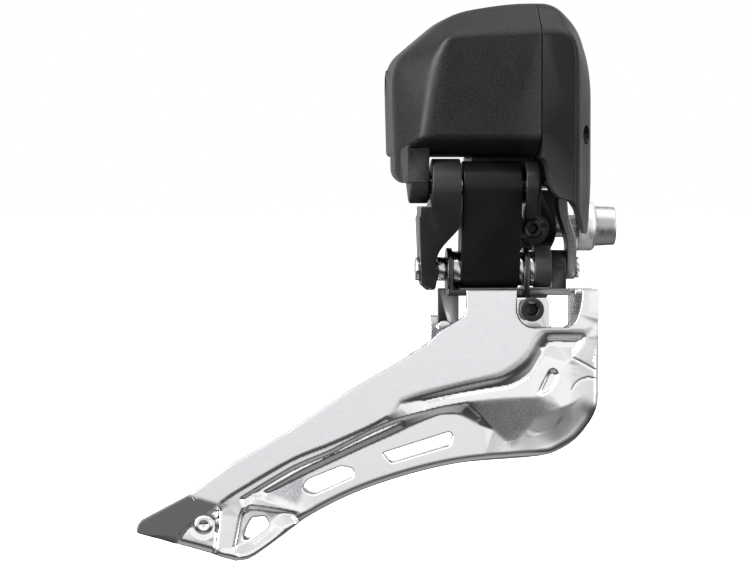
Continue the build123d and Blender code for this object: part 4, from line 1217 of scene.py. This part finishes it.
outer_outline = closed_outline(0.35, (-24.1, -13.4), (
    ("line", (-13.13, -13.4), (-13.13, -18.21)),
    ("curve", (-12.3, -20.0), (-10.9, -21.2), (-9.23, -21.55)),
    ("line", (-2.0, -21.55)),
    ("curve", (-0.34, -20.16), (0.6, -17.6), (1.0, -15.0), (1.04, -13.4)),
    ("line", (4.62, -13.4), (4.65, -36.28)),
    (
        "curve",
        (4.3, -39.4), (2.72, -42.57), (-0.55, -46.3), (-4.73, -48.7), (-8.07, -49.5),
        (-13.9, -49.9), (-23.41, -50.75), (-31.23, -52.14), (-39.0, -54.2), (-46.4, -56.69),
        (-53.0, -59.6), (-59.16, -63.0), (-63.6, -66.2), (-68.3, -69.6), (-71.18, -71.29),
        (-73.9, -71.7),
    ),
    (
        "line",
        (-77.06, -70.85), (-78.39, -70.36), (-85.94, -68.22), (-94.6, -65.6), (-95.2, -65.25),
    ),
    ("curve", (-95.15, -64.5), (-94.8, -63.5), (-94.12, -62.66)),
    (
        "line",
        (-83.51, -57.06), (-75.03, -50.9), (-63.13, -44.15), (-49.57, -35.07), (-39.17, -29.15),
        (-32.76, -25.07), (-29.73, -22.27), (-25.61, -19.79),
    ),
    ("curve", (-24.7, -19.1), (-24.2, -18.2), (-24.1, -17.0)),
    ("line", (-24.1, -13.4)),
))
slot_outlines = [
    np.array(round_corners(corners, 0.6))
    for corners in (
        ((-72.4, -67.2), (-72.1, -65.4), (-70.5, -62.5), (-67.5, -62.1), (-66.8, -63.5),
         (-67.5, -64.7), (-71.3, -67.4)),
        ((-59.58, -56.19), (-58.35, -54.34), (-51.16, -51.47), (-48.5, -52.0), (-48.3, -53.8),
         (-56.9, -57.65), (-58.6, -57.2)),
        ((-42.16, -48.71), (-27.54, -44.14), (-26.94, -45.01), (-27.32, -47.17), (-40.34, -50.93)),
    )
]
slot_outlines = [line_through([*slot, slot[0]], 0.4)[:-1] for slot in slot_outlines]


def smooth_fold(points, step=0.4):
    """A fold line of (x, z, depth) points as a finely divided smooth curve."""
    return [tuple(p) for p in curve_through(points, step)]


def at_depth(depth, *points):
    """A fold line that keeps one depth."""
    return tuple((x, z, depth) for x, z in points)


# the depth of the pressing below the top panel, along each fold line: (x, z, depth)
panel_edge_tail = (
    (-87.0, -67.6, 0), (-85.6, -65.5, 0), (-84.5, -64.3, 0), (-81.8, -62.4, 0), (-77.0, -58.6, 0),
    (-73.0, -56.0, 0), (-62.0, -49.7, 0), (-53.7, -46.3, 0), (-45.4, -42.7, 0), (-41.0, -40.4, 0),
    (-38.4, -38.9, 0.15),
)
panel_foot_tail = (
    (-77.0, -59.1, 0.16), (-73.0, -56.45, 0.2), (-62.0, -50.1, 0.2), (-53.7, -46.75, 0.2),
    (-45.4, -43.1, 0.2), (-41.5, -41.0, 0.2),
)
groove_top = at_depth(0.0,
    (-38.6, -36.6), (-33.9, -35.1), (-26.3, -33.3), (-20.2, -31.9), (-17.0, -31.0),
    (-14.4, -29.5), (-12.4, -27.9), (-11.0, -26.2), (-10.0, -24.3), (-8.8, -22.6), (-6.6, -21.85),
    (1.0, -21.85),
)
groove_roll = (
    (-38.5, -37.3, 0.05), (-33.9, -36.2, 0.12), (-26.3, -34.4, 0.15), (-20.2, -33.1, 0.15),
    (-16.4, -32.2, 0.15), (-13.5, -30.5, 0.15), (-11.4, -28.8, 0.15), (-10.1, -27.0, 0.15),
    (-9.0, -25.0, 0.14), (-7.8, -23.5, 0.13), (-6.0, -22.8, 0.13), (1.1, -22.85, 0.13),
)
groove_edge = (
    (-38.4, -37.9, 0.15), (-33.9, -37.0, 0.4), (-26.3, -35.2, 0.55), (-20.2, -33.9, 0.6),
    (-15.9, -33.0, 0.6), (-12.6, -31.3, 0.6), (-10.4, -29.5, 0.6), (-9.2, -27.7, 0.55),
    (-8.0, -25.6, 0.5), (-6.9, -24.3, 0.45), (-5.7, -23.6, 0.45), (1.2, -23.6, 0.45),
)
groove_foot = (
    (-33.0, -37.45, 0.6), (-26.3, -36.1, 0.85), (-20.2, -35.1, 0.95), (-14.5, -34.1, 0.95),
    (-11.4, -32.5, 0.9), (-9.6, -30.8, 0.85), (-8.6, -29.0, 0.8), (-7.5, -27.3, 0.8),
)
band_top = (
    (-32.4, -37.8, 0.35), (-26.3, -36.45, 0.38), (-20.2, -35.5, 0.4), (-14.1, -34.55, 0.4),
    (-11.0, -33.0, 0.4), (-9.2, -31.3, 0.4), (-8.1, -29.5, 0.42), (-6.9, -27.9, 0.45),
)
band_low = (
    (-75.4, -59.6, 0.25), (-73.0, -58.2, 0.25), (-62.0, -51.7, 0.25), (-53.7, -48.1, 0.25),
    (-45.4, -43.9, 0.25), (-39.9, -41.6, 0.3), (-32.4, -39.4, 0.35), (-26.3, -38.1, 0.4),
    (-20.2, -37.2, 0.42), (-14.1, -36.7, 0.42), (-8.6, -36.5, 0.42), (-6.2, -35.4, 0.42),
    (-4.6, -33.5, 0.42), (-3.5, -31.4, 0.42), (-2.3, -29.3, 0.42), (-1.1, -27.9, 0.45),
)
dark_line = (
    (-72.0, -58.2, 0.8), (-62.0, -52.25, 0.85), (-53.7, -48.7, 0.85), (-45.4, -44.5, 0.85),
    (-38.5, -41.6, 0.8), (-32.4, -39.85, 0.75),
)
ridge_two = ((-69.4, -57.6, 0.8), (-59.2, -51.9, 0.78), (-48.2, -46.7, 0.78), (-38.5, -42.3, 0.8))
dark_foot = (
    (-66.7, -57.1, 1.35), (-59.2, -53.3, 1.5), (-48.2, -48.2, 1.5), (-40.0, -44.6, 1.5),
    (-35.8, -42.7, 1.5), (-31.9, -41.0, 1.5), (-29.5, -40.2, 1.5), (-26.7, -40.1, 1.5),
    (-24.6, -40.7, 1.5), (-21.1, -42.6, 1.5),
)
low_edge = ((-24.0, -38.3, 0.75), (-21.1, -41.0, 1.2))
facet_left = ((-23.3, -38.35, 0.6), (-15.9, -45.8, 1.45), (-13.7, -47.3, 1.5))
facet_mid = ((-13.7, -47.3, 1.5), (-9.2, -41.6, 0.95), (-3.55, -38.8, 0.42))
facet_right = ((-3.55, -38.8, 0.42), (-4.7, -47.4, 1.55))
nose_edge = ((4.4, -36.3, 0.75), (-3.55, -38.8, 0.42))
pocket_wall = ((-6.6, -24.9, 1.0), (-5.4, -24.4, 1.25), (0.6, -24.5, 1.25))
pocket_floor = ((-6.5, -25.6, 1.15), (-5.3, -25.5, 1.25), (-0.2, -26.1, 1.2))
nose_fold = (
    (4.3, -20.6, 0.12), (2.1, -23.5, 0.2), (1.45, -24.6, 0.25), (-0.75, -27.8, 0.3),
    (-0.9, -28.0, 0.3),
)
slit = at_depth(1.2,
    (-8.1, -35.9), (-7.2, -33.9), (-5.8, -31.3), (-4.7, -31.7), (-5.0, -33.7), (-6.3, -35.2),
)
slit_rim = at_depth(0.42,
    (-8.6, -36.2), (-7.5, -33.8), (-5.8, -30.7), (-4.2, -31.4), (-4.6, -33.8), (-6.1, -35.6),
)
tail_ridge_left = ((-77.0, -60.7, 0.3), (-77.9, -69.7, 0.35))
tail_ridge_left_foot = ((-78.0, -61.2, 1.2), (-78.6, -69.5, 1.2))
tail_ridge_right = (
    (-74.5, -69.0, 0.4), (-72.9, -61.3, 0.35), (-71.8, -60.3, 0.35), (-70.2, -59.8, 0.4),
    (-60.6, -61.3, 1.3),
)
tail_ridge_right_foot = (
    (-73.7, -68.6, 1.2), (-72.4, -62.0, 1.2), (-71.3, -61.1, 1.2), (-70.0, -60.5, 1.2),
    (-62.0, -61.7, 1.45),
)
tail_ridge_top = ((-70.0, -58.0, 0.4), (-69.0, -58.0, 0.45), (-59.8, -61.4, 1.35))
recess_wall = at_depth(1.15,
    (-86.4, -67.6), (-85.0, -65.4), (-83.9, -64.3), (-81.2, -62.5), (-78.2, -60.4),
)
window_wall = (
    (-66.2, -62.7, 1.45), (-66.7, -65.0, 1.45), (-70.6, -67.6, 1.45), (-71.5, -67.4, 1.4),
)

panel_line = np.array([p[:2] for p in panel_edge_tail + groove_edge[1:]])


def rim_depth(x, z):
    """How deep the sheet is pressed at a place on its outer rim."""
    if x < -86.9 or (z > np.interp(x, panel_line[:, 0], panel_line[:, 1]) and x < 0.5):
        return 0.0
    if x < -79.0:
        return 1.15
    if x > 4.0 and z <= -24:
        return 0.12 + 0.65 * np.clip((-z - 24) / 12, 0, 1)
    return 1.5 if -60 <= x <= 4.0 and z < -36 else 0.0


fold_lines = [([(x, z, rim_depth(x, z)) for x, z in outer_outline[::3]], True)]
fold_lines += [(smooth_fold(line), False) for line in (
    slit + slit[:1], slit_rim + slit_rim[:1],
    panel_edge_tail, panel_foot_tail, groove_top, groove_roll, groove_edge, groove_foot,
    band_top, band_low, dark_line, ridge_two, dark_foot, low_edge, facet_left, facet_mid,
    facet_right, nose_edge, pocket_wall, pocket_floor, nose_fold, tail_ridge_left,
    tail_ridge_left_foot, tail_ridge_right, tail_ridge_right_foot, tail_ridge_top,
    recess_wall, window_wall,
)]
# two rings round the tail rivet, cut off by the wall above them
recess_centre = (-80.8, -63.9)
for radius, sunk in ((3.0, 1.05), (2.5, 1.25)):
    ring = [
        (x, z, sunk) for x, z in round_outline(recess_centre, radius, 36)
        if z < np.interp(x, [-86, -81, -77], [-66.2, -62.6, -60.2])
    ]
    ring.sort(key=lambda p: math.atan2(p[1] + 63.9 - 3, p[0] + 80.8))
    fold_lines.append((ring, False))
crease_lines = [[(p[0], p[1]) for p in line] for line, _ in fold_lines[1:]]
place, faces = pressed_plate(outer_outline, slot_outlines, crease_lines, 0.34)
relief = Relief(fold_lines, outer_outline.min(0), outer_outline.max(0))

# two thin lines scored into the nose: a slanted one and an arc below it
nose_lines = [
    curve_through([(-0.9, -28.2), (1.6, -29.5), (3.9, -30.8)], 0.3),
    curve_through([(-1.2, -35.2), (-0.4, -33.9), (0.7, -33.0), (2.4, -32.5), (4.1, -32.8)], 0.3),
]


def rim_distance(points, rims):
    """How far points are inside the sheet from each group of its edges."""
    outside = ~inside(points, rims[0])
    gap = distance_to(points, rims[0])
    gap[outside] = 0.0
    slots = np.full(len(points), 9.0)
    for slot in rims[1:]:
        away = distance_to(points, slot)
        away[inside(points, slot)] = 0.0
        slots = np.minimum(slots, away)
    return gap, slots


def rolled_edge(points):
    """Where the plate's edge is rolled over a wide radius: along its underside and nose."""
    edge = np.interp(
        points[:, 0], [-90, -75, -60, -40, -14, 0, 3, 4.7], [-66, -66, -58, -48, -42, -36, -30, -24]
    )
    return points[:, 1] < edge


def outer_sides(points):
    """The front and the back of the outer cage plate."""
    gap, slots = rim_distance(points, [outer_outline] + slot_outlines)
    rolled = rolled_edge(points)
    depth = relief.at(points)
    for line in nose_lines:
        depth += 0.09 * np.exp(-(distance_to(points, line, False) / 0.22) ** 2)
    front = depth + roll_over(gap, np.where(rolled, 1.7, 0.35)) * np.where(rolled, 0.8, 1.0)
    front += roll_over(slots, 0.3)
    back = np.maximum(np.maximum(sheet_mm, depth + 0.95), front + 0.25)
    return plate_y + front, plate_y + back


depth = relief.at(place)
rim_gap = rim_distance(place, [outer_outline])[0]
lower_rim = rolled_edge(place)
above_panel_edge = place[:, 1] > np.interp(place[:, 0], panel_line[:, 0], panel_line[:, 1]) - 0.05
flat_panel = above_panel_edge & (place[:, 0] < 2.5)
# from 0, satin, to 1, a mirror: the panel, the creases and bands, the low field, the nose
low_field_polish = 0.25
nose_polish = 0.35
polish = np.where(flat_panel & (depth < 0.05), 0.0, 1.0)
polish = np.where(depth > 1.4, low_field_polish, polish)
polish = np.where((place[:, 0] > -1.2) & (place[:, 1] < -18), nose_polish, polish)
polish = np.maximum(polish, np.clip(1.2 - rim_gap, 0, 1) * lower_rim)
polish = soften(polish, faces, 2)


# two facets keep the coarse grain that the tool leaves
grained_facets = (
    [(-23.9, -38.3), (-13.7, -47.4), (-9.2, -41.4), (-3.5, -38.7), (-8.6, -36.5)],
    [(-66.7, -57.1), (-59.2, -53.0), (-59.5, -57.5), (-60.6, -59.7)],
)
grain = np.max([inside(place, np.array(facet)) for facet in grained_facets], axis=0)
grain = soften(grain.astype(float), faces, 2)
# the coating ends along a slanted line across the panel, and covers the whole tip
coat_end = -57.3 - 0.3 * (place[:, 0] + 83.3)
coat = np.clip((coat_end - place[:, 1]) / 0.5 + 0.5, 0, 1)
coat = np.where(above_panel_edge & (place[:, 0] < -60), coat, 0.0)
coat = soften(np.where(place[:, 0] < -86.7, 1.0, coat), faces, 1)
# the rim mask carries the sheared edge's own duller tone together with painted shade that keeps the
# plate's rim a dark line
outer_plate = sheet_piece(
    "outer_cage_pressing", place, faces, outer_sides,
    {"polish": polish, "facet_grain": grain, "tail_coat": coat,
     "rim_edge_shade": np.clip(1.25 - rim_gap / 0.3, 0, 1)},
)

cage_finish = Finish("cage_alloy", 1.0, 0.3)
grain_node = cage_finish.group(GRAIN, Scale=5200.0, Mottle_Scale=260.0)
marks_node = cage_finish.group(STREAK, Along_X=700.0, Along_Y=3000.0, Along_Z=2600.0)
polish_mask = cage_finish.attribute("polish")
grain_mask = cage_finish.attribute("facet_grain")
coat_mask = cage_finish.attribute("tail_coat")
streaks = cage_finish.span(marks_node.outputs["Streak"], 0.0, 1.0)
mottle = cage_finish.span(grain_node.outputs["Mottle"], 0.0, 1.0)
pits = cage_finish.span(grain_node.outputs["Height"], 0.0, 1.0, 0.4, 0.6)
satin_tone = cage_finish.blend(streaks, (0.88, 0.885, 0.91), (0.93, 0.935, 0.95))
polished_tone = cage_finish.blend(mottle, (0.92, 0.92, 0.925), (0.96, 0.96, 0.96))
facet_tone = cage_finish.blend(pits, (0.22, 0.225, 0.24), (0.62, 0.63, 0.66))
tone = cage_finish.blend(polish_mask, satin_tone, polished_tone)
tone = cage_finish.blend(cage_finish.span(grain_mask, 0.0, 0.75, 0.0, 1.0), tone, facet_tone)
# painted shade: the plate's rolled rim and cut walls go dark grey, the sheared edge's own dull tone
# deepened so the rim reads as a dark line
tone = cage_finish.blend(cage_finish.attribute("rim_edge_shade"), tone, (0.20, 0.20, 0.21))
tone = cage_finish.blend(coat_mask, tone, (0.075, 0.074, 0.079))
cage_finish.put("Base Color", tone)
rough = cage_finish.mix(polish_mask, 0.30, 0.11)
rough = cage_finish.mix(coat_mask, rough, 0.44)
cage_finish.put("Roughness", rough)
cage_finish.put("Metallic", cage_finish.span(coat_mask, 1.0, 0.35, 0.0, 1.0))
fine_marks = cage_finish.span(marks_node.outputs["Streak"], 0.45, 0.55)
cage_finish.bump(cage_finish.mix(grain_mask, fine_marks, grain_node.outputs["Height"]), 0.012, 0.4)
finish_piece(outer_plate, "cage", "cage_silver", cage_finish.material, "outer_cage_plate")


def rib_row(name, material, **values):
    """A baked row of short fine ribs, evenly spaced, from one geometry tree."""
    tree = bpy.data.node_groups.new("rib_row", "GeometryNodeTree")
    sockets = {}
    for key, kind, side in (
        ("Geometry", "Geometry", "INPUT"), ("Count", "Int", "INPUT"), ("Start", "Vector", "INPUT"),
        ("Step", "Vector", "INPUT"), ("Rib", "Vector", "INPUT"), ("Lean", "Vector", "INPUT"),
        ("Finish", "Material", "INPUT"), ("Geometry", "Geometry", "OUTPUT"),
    ):
        sockets[key] = tree.interface.new_socket(key, in_out=side, socket_type="NodeSocket" + kind)
    start, end, row, rib, spread, real, paint = (
        tree.nodes.new(kind) for kind in (
            "NodeGroupInput", "NodeGroupOutput", "GeometryNodeMeshLine", "GeometryNodeMeshCube",
            "GeometryNodeInstanceOnPoints", "GeometryNodeRealizeInstances",
            "GeometryNodeSetMaterial",
        )
    )
    for source, output, target, entry in (
        (start, "Count", row, "Count"), (start, "Start", row, "Start Location"),
        (start, "Step", row, "Offset"), (start, "Rib", rib, "Size"),
        (row, "Mesh", spread, "Points"), (rib, "Mesh", spread, "Instance"),
        (start, "Lean", spread, "Rotation"), (spread, "Instances", real, "Geometry"),
        (real, "Geometry", paint, "Geometry"), (start, "Finish", paint, "Material"),
        (paint, "Geometry", end, "Geometry"),
    ):
        tree.links.new(source.outputs[output], target.inputs[entry])
    carrier = placed(name, bpy.data.meshes.new(name))
    work = carrier.modifiers.new("ribs", "NODES")
    work.node_group = tree
    for key, value in {**values, "Finish": material}.items():
        work[sockets[key].identifier] = value
    bake(carrier)
    return carrier


# the fine ribs stamped along the tail's upper edge
ribs = rib_row(
    "tail_edge_ribs", cage_finish.material, Count=24,
    Start=Vector((-83.0, plate_y + 0.02, -58.1)) * MM, Step=Vector((0.56, 0, 0.385)) * MM,
    Rib=Vector((0.16, 0.1, 0.9)) * MM, Lean=(0.0, math.radians(-34.0), 0.0),
)
finish_piece(ribs, "cage", "cage_silver", cage_finish.material, "outer_cage_plate")


# the ears are the part of the sheet that is folded in behind the flat plate
# painted shade: the folded ears get a near-black metal, far darker than the bright sheet they are
# folded from, for the shade they sit in behind the plate
ear_shade_metal = bare_metal(
    "cage_ear_painted_shade", (0.05, 0.05, 0.052), (0.09, 0.09, 0.092), 0.30, (3000.0, 1200.0, 1200.0),
    0.006
)
whole_plate = welded_copy("outer_cage_plate", "outer_plate_fold")
folded_ears = cut_at(whole_plate, "Y", plate_y + sheet_mm + 0.02, False)
finish_piece(ease_edges(folded_ears, 0.22, 3), "cage", "cage_silver", ear_shade_metal, "outer_cage_plate")

# ======== inner cage plate ========
# The inner plate is pressed from the same sheet and chromed. It reaches further forward,
# and its bridge folds over the chain to the outer plate.
inner_y = -9.6
inner_sheet = 1.2
inner_outline = closed_outline(0.6, (-0.4, -13.4), (
    ("line", (6.4, -13.4), (6.4, -36.3)),
    (
        "curve",
        (6.0, -39.8), (4.2, -43.3), (0.6, -47.4), (-4.2, -49.9), (-8.6, -50.7), (-13.9, -51.1),
        (-23.4, -51.8), (-31.2, -53.1), (-39.0, -54.9), (-46.4, -57.2), (-53.0, -59.9),
        (-59.2, -63.0), (-63.6, -65.7), (-68.0, -68.4), (-71.0, -69.7), (-73.9, -69.9),
    ),
    (
        "line",
        (-85.9, -66.8), (-93.6, -65.2), (-93.2, -64.1), (-83.5, -58.6), (-63.1, -45.9),
        (-39.2, -30.9), (-31.0, -24.6), (-31.0, -19.4), (-27.5, -19.4), (-24.0, -21.5),
        (-6.0, -25.0), (-0.4, -21.5), (-0.4, -13.4),
    ),
))
inner_slots = [s + np.array((0.9, -0.5)) for s in slot_outlines]
inner_bead = [
    (-86.0, -63.6), (-62.0, -50.5), (-45.4, -43.8), (-32.4, -39.4), (-14.1, -36.5),
    (-4.0, -33.5), (2.0, -26.0),
]
bead_line = curve_through(inner_bead, 0.6)
place, faces = pressed_plate(inner_outline, inner_slots, [[tuple(p) for p in bead_line]], 0.6)


def inner_sides(points):
    """The front and the back of the inner cage plate, with its long bead."""
    gap, slots = rim_distance(points, [inner_outline] + inner_slots)
    swell = np.clip(1 - distance_to(points, bead_line, False) / 1.6, 0, 1)
    swell = swell * swell * (3 - 2 * swell) * 0.35
    fall = roll_over(gap, 0.4) + roll_over(slots, 0.3)
    front = inner_y + fall + swell
    return front, np.maximum(inner_y + inner_sheet - fall + swell * 0.7, front + 0.2)


inner_plate = sheet_piece("inner_cage_pressing", place, faces, inner_sides, {})
chrome = bare_metal(
    "inner_plate_chrome", (0.66, 0.66, 0.67), (0.78, 0.78, 0.79), 0.16, (900.0, 3000.0, 2500.0),
    0.003
)
finish_piece(inner_plate, "cage", "cage_silver", chrome, "inner_cage_plate")
whole_plate = welded_copy("inner_cage_plate", "inner_plate_bridge")
bridge = cut_at(whole_plate, "Y", inner_y - 0.02, True)
finish_piece(ease_edges(bridge, 0.3, 3), "cage", "cage_silver", chrome, "inner_cage_plate")
